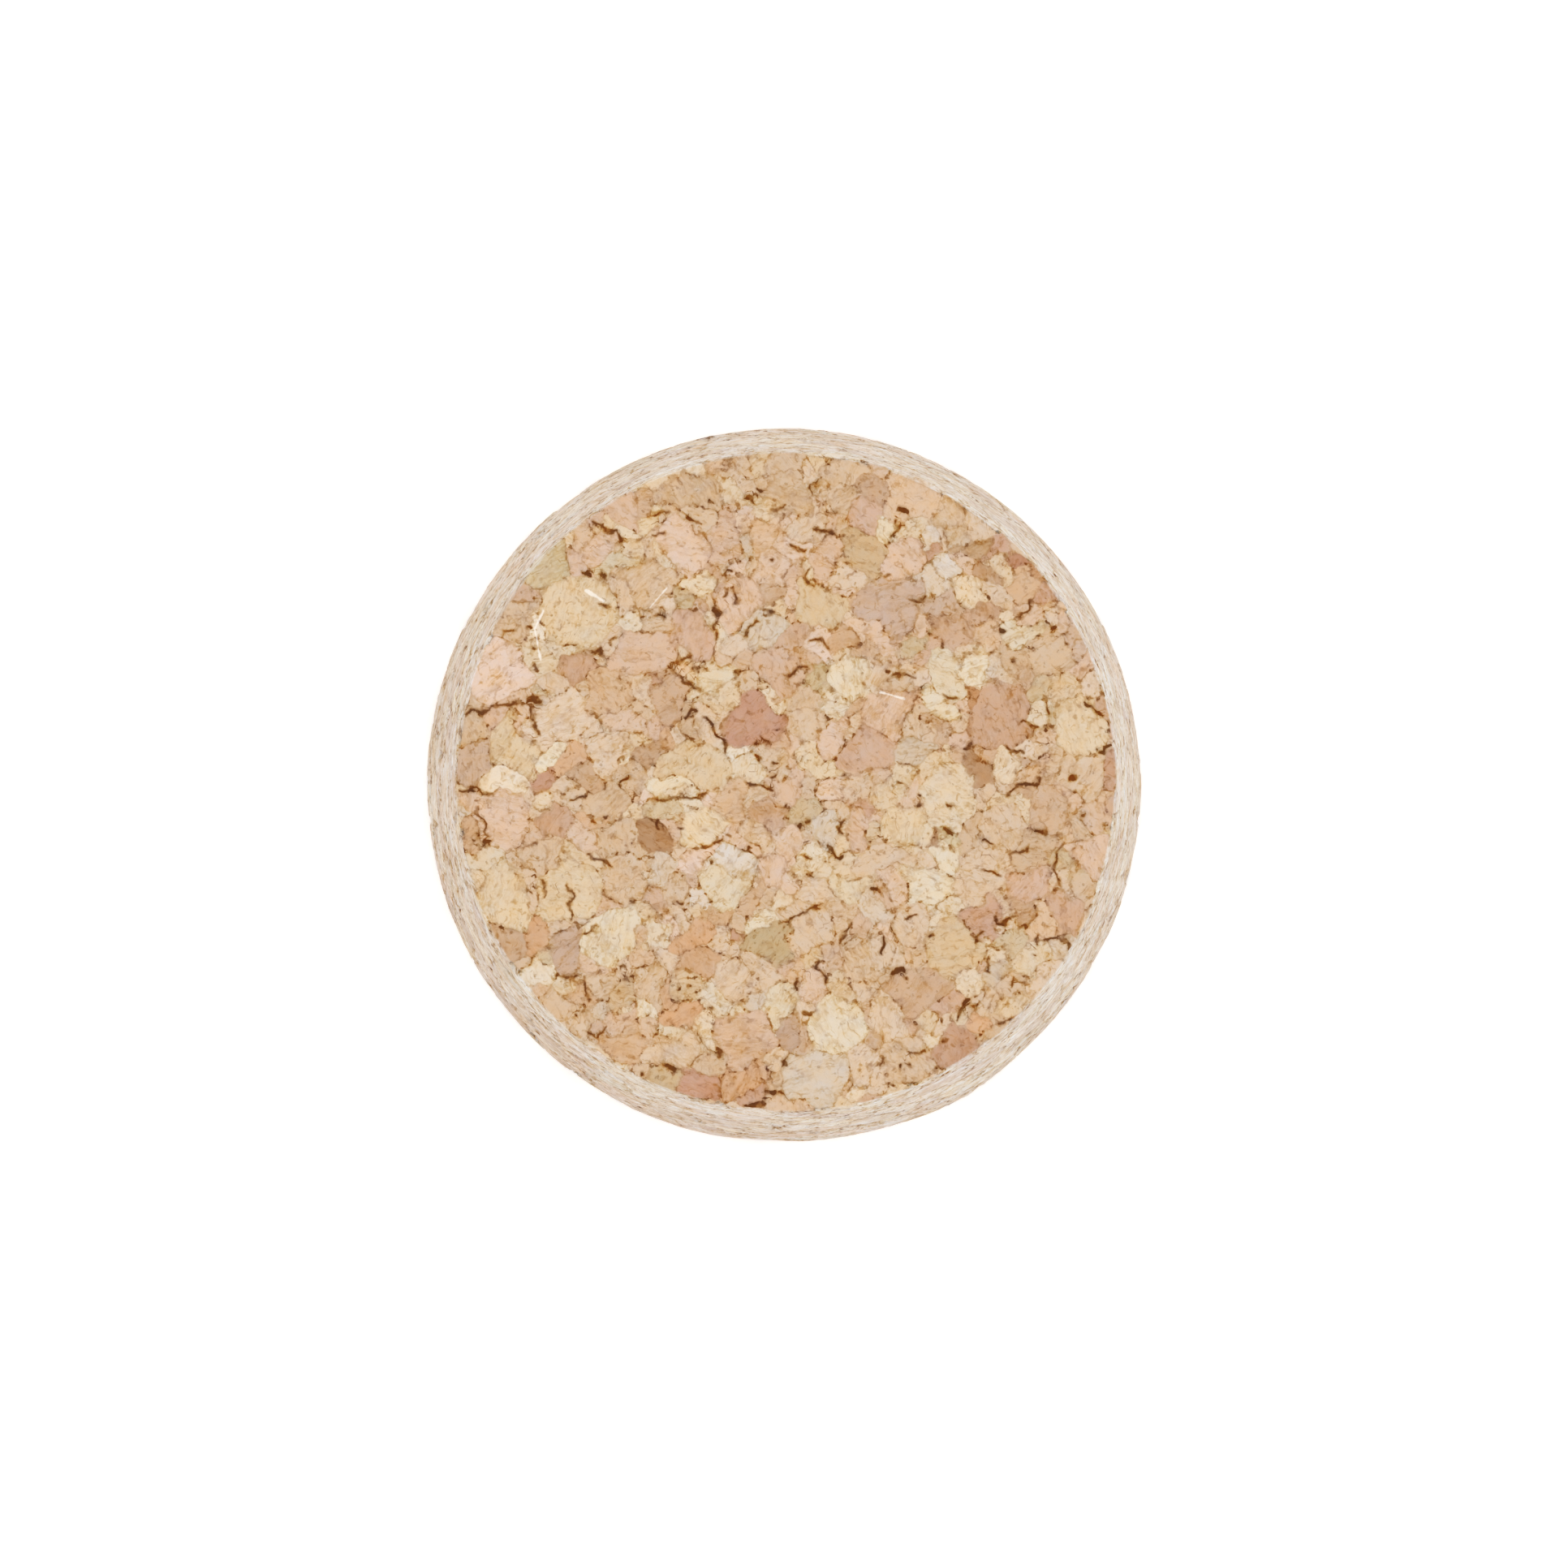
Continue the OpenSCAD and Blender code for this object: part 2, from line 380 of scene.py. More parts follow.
# Pale slivers of binder that lie in the face, written like the cracks.
SLIVERS = (
    (0.10, (-16.5, 11.6), (-17.1, 10.4), (-16.7, 8.3)),
    (0.13, (-13.6, 13.0), (-12.4, 12.3)),
    (0.06, (-8.1, 13.2), (-9.3, 11.8)),
    (0.10, (6.4, 6.1), (7.2, 5.9), (8.1, 5.6)),
)

# Flats rubbed off the rims: angle in degrees, bite along the radius.
WIDE_FLATS = ((-93, 0.20), (-12, 0.12))
NARROW_FLATS = ((-40, 0.20), (-175, 0.22), (152, 0.28))
# How far a narrow flat leans from upright, in degrees.
NARROW_FLAT_RISE = 45
# Where the foot of the wall bulges: angle and spread in degrees, and how far it stands out.
BULGE_ANGLE, BULGE_SPREAD, BULGE_OUT = -60, 9, 0.24


# ---------------------------------------------------------------- properties
def colour_property(name, description, red, green, blue):
    """A colour that shows in the sidebar, given as a screen colour from 0 to 255."""
    linear = [((v / 255 + 0.055) / 1.055) ** 2.4 for v in (red, green, blue)]
    return bpy.props.FloatVectorProperty(
        name=name, description=description, size=3, default=linear, subtype="COLOR", min=0, max=1
    )


class StopperShape(bpy.types.PropertyGroup):
    """Sizes of the plug that the frame's box doesn't give."""

    narrow_d: bpy.props.FloatProperty(
        name="Narrow end", description="Diameter where the wall and the narrow face would meet",
        default=45 * MM, subtype="DISTANCE", unit="LENGTH",
    )
    wide_rim_r: bpy.props.FloatProperty(
        name="Wide rim", description="Radius that eases the rim of the wide end",
        default=0.5 * MM, subtype="DISTANCE", unit="LENGTH",
    )
    narrow_rim_r: bpy.props.FloatProperty(
        name="Narrow rim", description="Radius that eases the rim of the narrow end",
        default=0.3 * MM, subtype="DISTANCE", unit="LENGTH",
    )
    seed: bpy.props.IntProperty(
        name="Seed", description="Start of the random draws that place the granules", default=7
    )
    gap_depth: bpy.props.FloatProperty(
        name="Gap depth", description="Depth of the widest gaps between granules",
        default=0.55 * MM, subtype="DISTANCE", unit="LENGTH",
    )


class CorkTints(bpy.types.PropertyGroup):
    """Colours of the granules and of what lies between them."""

    tan: colour_property("Tan", "Most granules", 205, 180, 154)
    yellow: colour_property("Yellow", "Granules of clean pale cork", 213, 192, 162)
    cream: colour_property("Cream", "The palest granules", 216, 202, 179)
    pink: colour_property("Pink", "Granules with a pink cast", 209, 180, 158)
    orange: colour_property("Orange", "Warm granules", 205, 171, 138)
    rose: colour_property("Rose", "Darker pink granules", 195, 159, 134)
    brown: colour_property("Brown", "Granules of darker cork", 188, 153, 122)
    rust: colour_property("Rust", "Deep orange granules", 202, 158, 119)
    red: colour_property("Red brown", "The darkest, reddest granules", 182, 134, 109)
    olive: colour_property("Olive", "Granules with a green cast", 191, 170, 133)
    mauve: colour_property("Mauve", "Greyish purple granules", 190, 162, 143)
    grey: colour_property("Grey", "Pale greyish granules", 202, 186, 168)
    # Dust is also painted sheen: its pale grey stands in for the white sheen of the wall seen at a
    # grazing angle.
    dust_and_sheen: colour_property("Dust", "Fine dust that grinding leaves on the wall", 220, 217, 213)
    sliver: colour_property("Sliver", "Slivers of hardened binder", 240, 234, 226)


# How often each tint comes up among the granules that aren't listed one by one.
TINT_SHARES = (
    ("tan", 31), ("yellow", 17), ("cream", 9), ("pink", 14), ("orange", 7), ("rose", 6),
    ("brown", 5), ("rust", 3), ("red", 2), ("olive", 3), ("mauve", 3), ("grey", 5),
)
# What one step of shade adds to a tint's brightness, as a share.
SHADE_STEP = 0.072
# The powers of red, green and blue that a change of brightness is raised to.
SHADE_LAW = np.array([0.6, 1.0, 1.6])
# How far the tints of the small granules keep apart, and how much their brightness varies.
FILL_SPREAD = 0.72
FILL_VARIES = 0.062
# How far the tints keep apart: 0 makes every granule alike, 1 leaves the tints as they are.
TINT_SPREAD = 0.87


# ---------------------------------------------------------------- half section
def half_section(shape, wall_rows, rim_steps):
    """The plug's half section as arrays of radius, height and outward normal, one row per ring.

    It runs from the narrow face's edge round its rim arc, down the wall, which is the common
    tangent of the two rim arcs, and round the wide rim arc to the wide face's edge.
    """
    narrow_r = shape.narrow_d / MM / 2
    wide_rim = shape.wide_rim_r / MM
    narrow_rim = shape.narrow_rim_r / MM
    wide_x, wide_z = REACH - wide_rim, wide_rim
    run, rise = wide_x - narrow_r, PLUG_H - wide_z
    lean = math.atan2(run, rise) + math.asin(wide_rim / math.hypot(run, rise))
    narrow_x = narrow_r - narrow_rim * (1 - math.sin(lean)) / math.cos(lean)
    narrow_z = PLUG_H - narrow_rim

    top = np.linspace(math.pi / 2, lean, rim_steps + 1)
    bottom = np.linspace(lean, -math.pi / 2, rim_steps + 1)
    down = np.linspace(0, 1, wall_rows + 1)[1:-1]
    high = (narrow_x + narrow_rim * math.cos(lean), narrow_z + narrow_rim * math.sin(lean))
    low = (wide_x + wide_rim * math.cos(lean), wide_z + wide_rim * math.sin(lean))
    radius = np.concatenate([
        narrow_x + narrow_rim * np.cos(top),
        high[0] + (low[0] - high[0]) * down,
        wide_x + wide_rim * np.cos(bottom),
    ])
    height = np.concatenate([
        narrow_z + narrow_rim * np.sin(top),
        high[1] + (low[1] - high[1]) * down,
        wide_z + wide_rim * np.sin(bottom),
    ])
    tilt = np.concatenate([top, np.full(len(down), lean), bottom])
    return radius, height, np.cos(tilt), np.sin(tilt)


def disc_grid(cells, radius):
    """A square grid carried onto a disc, as x and y arrays of cells + 1 by cells + 1.

    Each square ring becomes a round ring of the same share of the radius, and a point's share of
    the way along its side becomes its share of that side's quarter turn.
    """
    side = np.linspace(-1, 1, cells + 1)
    a, b = np.meshgrid(side, side, indexing="ij")
    upright = np.abs(a) > np.abs(b)
    reach = np.where(upright, a, b)
    other = np.where(upright, b, a)
    share = other / np.where(reach == 0, 1, reach)
    turn = np.where(upright, share, 2 - share) * math.pi / 4
    return radius * reach * np.cos(turn), radius * reach * np.sin(turn)


def grid_quads(index):
    """Corners of the quads of a grid of vertex numbers, each quad's corners in order."""
    return np.stack(
        [index[:-1, :-1], index[1:, :-1], index[1:, 1:], index[:-1, 1:]], axis=-1
    ).reshape(-1, 4)


def grid_rim(index):
    """A square grid's border vertex numbers, counter-clockwise from the corner at -45 degrees."""
    return np.concatenate([index[-1, :-1], index[::-1, -1][:-1], index[0, ::-1][:-1], index[:-1, 0]])


class Skin:
    """The plug's surface as arrays: points, normals, quads and the triangles of one transition."""

    def __init__(self, shape, face_cells=224, wall_rows=62, rim_steps=4):
        radius, height, out, up = half_section(shape, wall_rows, rim_steps)
        fine, coarse = 4 * face_cells, 2 * face_cells
        points, normals = [], []
        self.count = 0

        def add(x, y, z, nx, ny, nz):
            """Adds a block of points and returns its vertex numbers in the block's own form."""
            block = np.broadcast_arrays(x, y, z, nx, ny, nz)
            flat = np.stack(block, axis=-1).reshape(-1, 6)
            points.append(flat[:, :3])
            normals.append(flat[:, 3:])
            numbers = self.count + np.arange(len(flat)).reshape(block[0].shape)
            self.count += len(flat)
            return numbers

        x, y = disc_grid(face_cells, radius[0])
        narrow = add(x, y, height[0], 0, 0, 1)
        x, y = disc_grid(face_cells // 2, radius[-1])
        wide = add(x, y, height[-1], 0, 0, -1)

        def rings(rows, columns):
            """Rings of points on the section's rows, and their vertex numbers."""
            angle = -math.pi / 4 + 2 * math.pi * np.arange(columns) / columns
            east, north = np.cos(angle), np.sin(angle)
            r, z, n, m = (v[rows, None] for v in (radius, height, out, up))
            return add(r * east, r * north, z, n * east, n * north, m)

        upper = rings(np.arange(1, rim_steps + 1), fine)
        lower = rings(np.arange(rim_steps + 1, len(radius) - 1), coarse)
        upper = np.vstack([grid_rim(narrow), upper])
        lower = np.vstack([lower, grid_rim(wide)])

        def closed(block):
            """Rings of vertex numbers with the first of each repeated at its end."""
            return np.hstack([block, block[:, :1]])

        self.quads = np.vstack([
            grid_quads(narrow), grid_quads(wide)[:, ::-1],
            grid_quads(closed(upper)), grid_quads(closed(lower)),
        ])
        a, b, c = upper[-1, 0::2], upper[-1, 1::2], np.roll(upper[-1, 0::2], -1)
        p, q = lower[0], np.roll(lower[0], -1)
        self.stitch = np.vstack([
            np.stack([a, p, b], 1), np.stack([b, p, q], 1), np.stack([b, q, c], 1),
        ])
        self.points = np.vstack(points)
        self.normals = np.vstack(normals)
        rim = np.concatenate([upper.ravel(), lower[-rim_steps - 1:].ravel()])
        self.on_rim = np.zeros(self.count, bool)
        self.on_rim[rim] = True
        self.edges = self._edges()

    def _edges(self):
        """Every edge of the quads and of the transition once, as pairs of vertex numbers."""
        loops = [np.stack([f, np.roll(f, -1, axis=1)], -1).reshape(-1, 2)
                 for f in (self.quads, self.stitch)]
        return np.unique(np.sort(np.vstack(loops), axis=1), axis=0)


# ---------------------------------------------------------------- granules
def waves(points, seed, length, count=7, sharp=False):
    """Smooth noise of about unit size: a sum of plane waves in random directions and phases.

    Each wave's length is between 0.7 and 1.4 times the length given. Sharp waves are zigzags.
    """
    rng = np.random.default_rng(seed)
    way = rng.normal(size=(3, count))
    way /= np.linalg.norm(way, axis=0)
    way *= 2 * math.pi / (length * rng.uniform(0.7, 1.4, count))
    phase = rng.uniform(0, 2 * math.pi, count)
    wave = np.sin(points @ way + phase)
    if sharp:
        wave = np.arcsin(wave) * 2 / math.pi
    return wave.sum(axis=1) * math.sqrt(2 / count)


def crumple(points, seed):
    """Points moved by three sizes of zigzag waves, which makes straight granule edges irregular."""
    drift = np.zeros_like(points)
    for length, height in ((4.5, 0.34), (2.2, 0.21), (0.9, 0.065)):
        for axis in range(3):
            seed += 1
            drift[:, axis] += height * waves(points, seed, length, sharp=True)
    return points + drift


def turned(rng):
    """A random rotation matrix: the Q of a random matrix's QR form."""
    q, r = np.linalg.qr(rng.normal(size=(3, 3)))
    return q * np.sign(np.diag(r))


class Granules:
    """Pressed granules: middles, sizes and forms, and for each its tint, grain and level.

    A granule is where its own value is least of all. The value at a point is the squared distance
    from the middle, measured in the granule's own stretched axes, less its radius squared.
    """

    def __init__(self, shape, tints, skin, seed):
        self.rng = np.random.default_rng(shape.seed)
        self.middles, self.radii, self.axes, self.spans, self.tints = [], [], [], [], []
        total = sum(share for _, share in TINT_SHARES)
        self.shares = np.array([share for _, share in TINT_SHARES]) / total
        table = {name: np.array(getattr(tints, name)) for name, _ in TINT_SHARES}
        self.common = sum(share * table[name] for name, share in TINT_SHARES) / total
        self.tint_table = {
            name: self.common + TINT_SPREAD * (own - self.common) for name, own in table.items()
        }
        self._place_by_hand(seed)
        self._fill(skin, 1.4, 2.4, 2500, 0.35)
        self._fill(skin, 0.9, 1.35, 12000, 1)
        self._fill(skin, 0.5, 0.85, 24000, 0.8)
        self._finish()

    def _add(self, middle, spans, axes, tint):
        """Adds one granule: its middle, half widths along its own axes, those axes and its tint."""
        self.middles.append(middle)
        self.spans.append(spans)
        self.radii.append(np.prod(spans) ** (1 / 3))
        self.axes.append(axes)
        self.tints.append(tint)

    def _place_by_hand(self, seed):
        """The large granules of the narrow face, just under it, put where crumpling shows them."""
        for x, y, width, height, turn, name, shade in GRANULES:
            spans = np.array([width, height, (width + height) / 2]) / 2
            angle = math.radians(turn)
            axes = np.array(Matrix.Rotation(angle, 3, "Z"))
            tint = self.tint_table[name] * (1 + SHADE_STEP * shade) ** SHADE_LAW
            middle = crumple(np.array([[x, y, PLUG_H - 0.25 * spans.min()]]), seed)[0]
            self._add(middle, 0.95 * spans, axes, tint)
        self.by_hand = len(self.middles)

    def _fill(self, skin, least, most, tries, narrow_share):
        """Drops granules of one range of sizes wherever they fit near the surface.

        narrow_share is the share of those that would cut the narrow face and are kept.
        """
        rng = self.rng
        radii = rng.uniform(least, most, tries)
        spots = rng.integers(0, skin.count, tries)
        offset = radii * rng.uniform(-0.7, 1.2, tries)
        middles = skin.points[spots] - skin.normals[spots] * offset[:, None]
        middles += rng.uniform(-0.3, 0.3, (tries, 3))
        cuts_face = PLUG_H - middles[:, 2] < radii
        dropped = cuts_face & (rng.uniform(size=tries) > narrow_share)
        choice = list(self.tint_table.values())
        picks = rng.choice(len(choice), tries, p=self.shares)
        placed = np.zeros((len(self.middles) + tries, 3))
        taken = np.zeros(len(placed))
        count = len(self.middles)
        placed[:count], taken[:count] = self.middles, self.radii
        for i in range(tries):
            stretch = rng.uniform(0.78, 1.28, 3)
            axes = turned(rng)
            if dropped[i]:
                continue
            apart = np.linalg.norm(placed[:count] - middles[i], axis=1)
            if (apart < 0.88 * (taken[:count] + radii[i])).any():
                continue
            spans = radii[i] * stretch / np.prod(stretch) ** (1 / 3)
            tint = self.common + FILL_SPREAD * (choice[picks[i]] - self.common)
            tint = tint * (1 + rng.normal(0, FILL_VARIES)) ** SHADE_LAW
            self._add(middles[i], spans, axes, tint)
            placed[count], taken[count] = middles[i], radii[i]
            count += 1

    def _finish(self):
        """Turns the lists into arrays and draws what differs from granule to granule.

        The grain of the listed granules lies in the narrow face.
        """
        rng = self.rng
        count = len(self.middles)
        self.middles = np.array(self.middles)
        self.radii = np.array(self.radii)
        self.tints = np.clip(np.array(self.tints), 0, 0.95)
        axes, spans = np.array(self.axes), np.array(self.spans)
        stretch = (self.radii[:, None] / spans) ** 2
        self.forms = np.einsum("nij,nj,nkj->nik", axes, stretch, axes)
        grain = rng.normal(size=(count, 3))
        grain[: self.by_hand, 2] = 0
        grain /= np.linalg.norm(grain, axis=1)[:, None]
        self.grain = grain * rng.uniform(0.15, 1, count)[:, None]
        self.levels = rng.uniform(0, 1, count) ** 3
        self.tilts = rng.normal(0, 1, (count, 3))
        self.wear = rng.uniform(0, 1, count)
        self.clean = rng.uniform(0, 0.8, count) * np.clip(self.radii / 2, 0, 1)
        self.clean[: self.by_hand] = rng.uniform(0.2, 0.7, self.by_hand)

    def value(self, points, which):
        """Each point's value for the granule named beside it, and that value's slope."""
        away = points - self.middles[which]
        bent = np.einsum("nij,nj->ni", self.forms[which], away)
        return (away * bent).sum(axis=1) - self.radii[which] ** 2, 2 * bent

    def nearest(self, points, keep=3, block=3.0, reach=5.5):
        """The granules with the least values at each point, least first.

        Space is cut into cubes of side block, and each cube's points look only at the granules
        whose middles lie within reach of the cube's own.
        """
        cell = np.floor(points / block).astype(int)
        _, first, group = np.unique(cell, axis=0, return_index=True, return_inverse=True)
        order = np.argsort(group.ravel(), kind="stable")
        edges = np.concatenate([[0], np.cumsum(np.bincount(group.ravel()))])
        found = np.zeros((len(points), keep), int)
        tree = [(0, 0), (1, 1), (2, 2), (0, 1), (0, 2), (1, 2)]
        for g, start in enumerate(first):
            rows = order[edges[g]:edges[g + 1]]
            middle = (cell[start] + 0.5) * block
            near = np.flatnonzero(np.linalg.norm(self.middles - middle, axis=1) < reach)
            away = points[rows] - middle
            own = self.middles[near] - middle
            form = self.forms[near]
            bent = np.einsum("nij,nj->ni", form, own)
            value = (own * bent).sum(axis=1) - self.radii[near] ** 2 - 2 * away @ bent.T
            for a, b in tree:
                value += (1 if a == b else 2) * np.outer(away[:, a] * away[:, b], form[:, a, b])
            least = np.argpartition(value, keep, axis=1)[:, :keep]
            ranks = np.argsort(np.take_along_axis(value, least, axis=1), axis=1)
            found[rows] = near[np.take_along_axis(least, ranks, axis=1)]
        return found


# ---------------------------------------------------------------- lines drawn on the narrow face
# Stands for a line too far away to matter.
FAR = 9


def nearest_line(points, lines):
    """The nearest listed line to each point, as six arrays.

    They are the signed offset across the line, the distance past its end, its half width, and the
    direction across it as x and y, then the line's number.
    """
    count = len(points)
    best = np.full(count, np.inf)
    found = np.zeros((count, 6))
    for number, (half, *stops) in enumerate(lines):
        for (x0, y0), (x1, y1) in zip(stops, stops[1:]):
            length = math.hypot(x1 - x0, y1 - y0)
            east, north = (x1 - x0) / length, (y1 - y0) / length
            x, y = points[:, 0] - x0, points[:, 1] - y0
            along = x * east + y * north
            across = y * east - x * north
            past = np.maximum(np.maximum(-along, along - length), 0)
            away = np.hypot(across, past) - half
            closer = away < best
            best[closer] = away[closer]
            rest = [np.full(count, v) for v in (half, -north, east, number)]
            found[closer] = np.stack([across, past, *rest], axis=1)[closer]
    return found


def wobble(points):
    """Points of the narrow face moved by fine smooth noise, so that drawn lines run unevenly."""
    moved = points[:, :2].copy()
    for length, height, seed in ((1.3, 0.11, 300), (0.5, 0.05, 320)):
        moved[:, 0] += height * waves(points, seed, length)
        moved[:, 1] += height * waves(points, seed + 1, length)
    return moved


# ---------------------------------------------------------------- fitting the grid to the granules
def flatten(vectors, normals, on_rim):
    """Vectors with their part along the normal taken out, and on a rim only their part round it."""
    flat = vectors - normals * (vectors * normals).sum(axis=1)[:, None]
    round_way = np.cross([0, 0, 1], normals[on_rim])
    size = np.linalg.norm(round_way, axis=1)[:, None]
    round_way /= np.where(size == 0, 1, size)
    flat[on_rim] = round_way * (vectors[on_rim] * round_way).sum(axis=1)[:, None]
    return flat


def grid_spacing(skin):
    """The mean length of the grid's edges at each point."""
    a, b = skin.edges.T
    length = np.linalg.norm(skin.points[a] - skin.points[b], axis=1)
    total = np.bincount(a, length, skin.count) + np.bincount(b, length, skin.count)
    return total / (np.bincount(a, minlength=skin.count) + np.bincount(b, minlength=skin.count))


def fit_to_edges(skin, granules, spacing, seed):
    """The skin's points, slid along it onto the granules' edges, and which of them were slid.

    Where an edge of the grid crosses from one granule to another, the end nearer the crossing
    moves onto the boundary, by Newton's method on the difference of the two granules' values.
    """
    start = skin.points
    points = start.copy()
    label = granules.nearest(crumple(points, seed), keep=2)[:, 0]
    a, b = skin.edges.T
    crossing = label[a] != label[b]
    a, b = a[crossing], b[crossing]
    bent = crumple(points, seed)
    here = granules.value(bent[a], label[b])[0] - granules.value(bent[a], label[a])[0]
    there = granules.value(bent[b], label[a])[0] - granules.value(bent[b], label[b])[0]
    share = here / (here + there)
    ends = np.where(share < 0.5, a, b)
    others = label[np.where(share < 0.5, b, a)]
    order = np.argsort(-np.minimum(share, 1 - share), kind="stable")
    partner = np.full(skin.count, -1)
    partner[ends[order]] = others[order]
    moving = np.flatnonzero(partner >= 0)

    for _ in range(3):
        bent = crumple(points[moving], seed)
        own, own_slope = granules.value(bent, label[moving])
        other, other_slope = granules.value(bent, partner[moving])
        slope = flatten(other_slope - own_slope, skin.normals[moving], skin.on_rim[moving])
        steep = (slope ** 2).sum(axis=1)
        step = -slope * ((other - own) / np.where(steep > 1e-6, steep, np.inf))[:, None]
        points[moving] += step
        gone = points[moving] - start[moving]
        far = np.linalg.norm(gone, axis=1) / (0.6 * spacing[moving])
        points[moving] = start[moving] + gone / np.maximum(far, 1)[:, None]
    return points, partner >= 0


def fit_to_cracks(skin, points, fitted, spacing):
    """Slides the narrow face's points, in place, onto the middle lines of the cracks they cross."""
    start = skin.points
    face = np.flatnonzero((skin.normals[:, 2] > 0.99) & ~skin.on_rim)
    line = np.zeros((skin.count, 6))
    line[:, 1] = FAR
    line[face] = nearest_line(wobble(start[face]), CRACKS)
    a, b = skin.edges.T
    cut = (line[a, 1] == 0) & (line[b, 1] == 0) & (line[a, 5] == line[b, 5])
    cut &= line[a, 0] * line[b, 0] < 0
    a, b = a[cut], b[cut]
    nearer = np.where(np.abs(line[a, 0]) < np.abs(line[b, 0]), a, b)
    nearer = nearer[np.abs(line[nearer, 0]) < 0.7 * spacing[nearer]]
    points[nearer, :2] = start[nearer, :2] - line[nearer, :1] * line[nearer, 3:5]
    fitted[nearer] = True


def split_quads(quads, points, fitted):
    """Two triangles for each quad, cut along the diagonal that joins more fitted points.

    Where both diagonals join as many, the shorter one is cut.
    """
    a, b, c, d = quads.T
    on_first = fitted[a] * 1 + fitted[c]
    on_second = fitted[b] * 1 + fitted[d]
    first = np.linalg.norm(points[a] - points[c], axis=1)
    second = np.linalg.norm(points[b] - points[d], axis=1)
    by_first = (on_first > on_second) | ((on_first == on_second) & (first <= second))
    halves = np.where(by_first[:, None], np.stack([a, b, c], 1), np.stack([a, b, d], 1))
    others = np.where(by_first[:, None], np.stack([a, c, d], 1), np.stack([b, c, d], 1))
    return np.vstack([halves, others])


def smooth_step(value, start, end):
    """0 at start and 1 at end, with no corner at either."""
    t = np.clip((value - start) / (end - start), 0, 1)
    return t * t * (3 - 2 * t)


def untangle(skin, points, triangles):
    """Puts back the points of triangles that the fitting turned over or made too thin."""
    for _ in range(4):
        a, b, c = (points[triangles[:, i]] for i in range(3))
        facing = np.cross(b - a, c - a)
        out = skin.normals[triangles].mean(axis=1)
        area = (facing * out).sum(axis=1)
        bad = area < 0.08 * np.median(area)
        points[triangles[bad]] = skin.points[triangles[bad]]
    return points


# ---------------------------------------------------------------- relief
def nearest_edges(points, normals, granules, seed):
    """Each point's granule, its three nearest rivals, and the distances to their boundaries.

    A distance is the difference of the two granules' values over its slope along the skin.
    """
    bent = crumple(points, seed)
    near = granules.nearest(bent, keep=4)
    own, own_slope = granules.value(bent, near[:, 0])
    gaps = []
    for rank in (1, 2, 3):
        value, slope = granules.value(bent, near[:, rank])
        flat = flatten(slope - own_slope, normals, np.zeros(len(points), bool))
        gaps.append((value - own) / np.maximum(np.linalg.norm(flat, axis=1), 0.4))
    return near[:, 0], near[:, 1:], np.array(gaps)


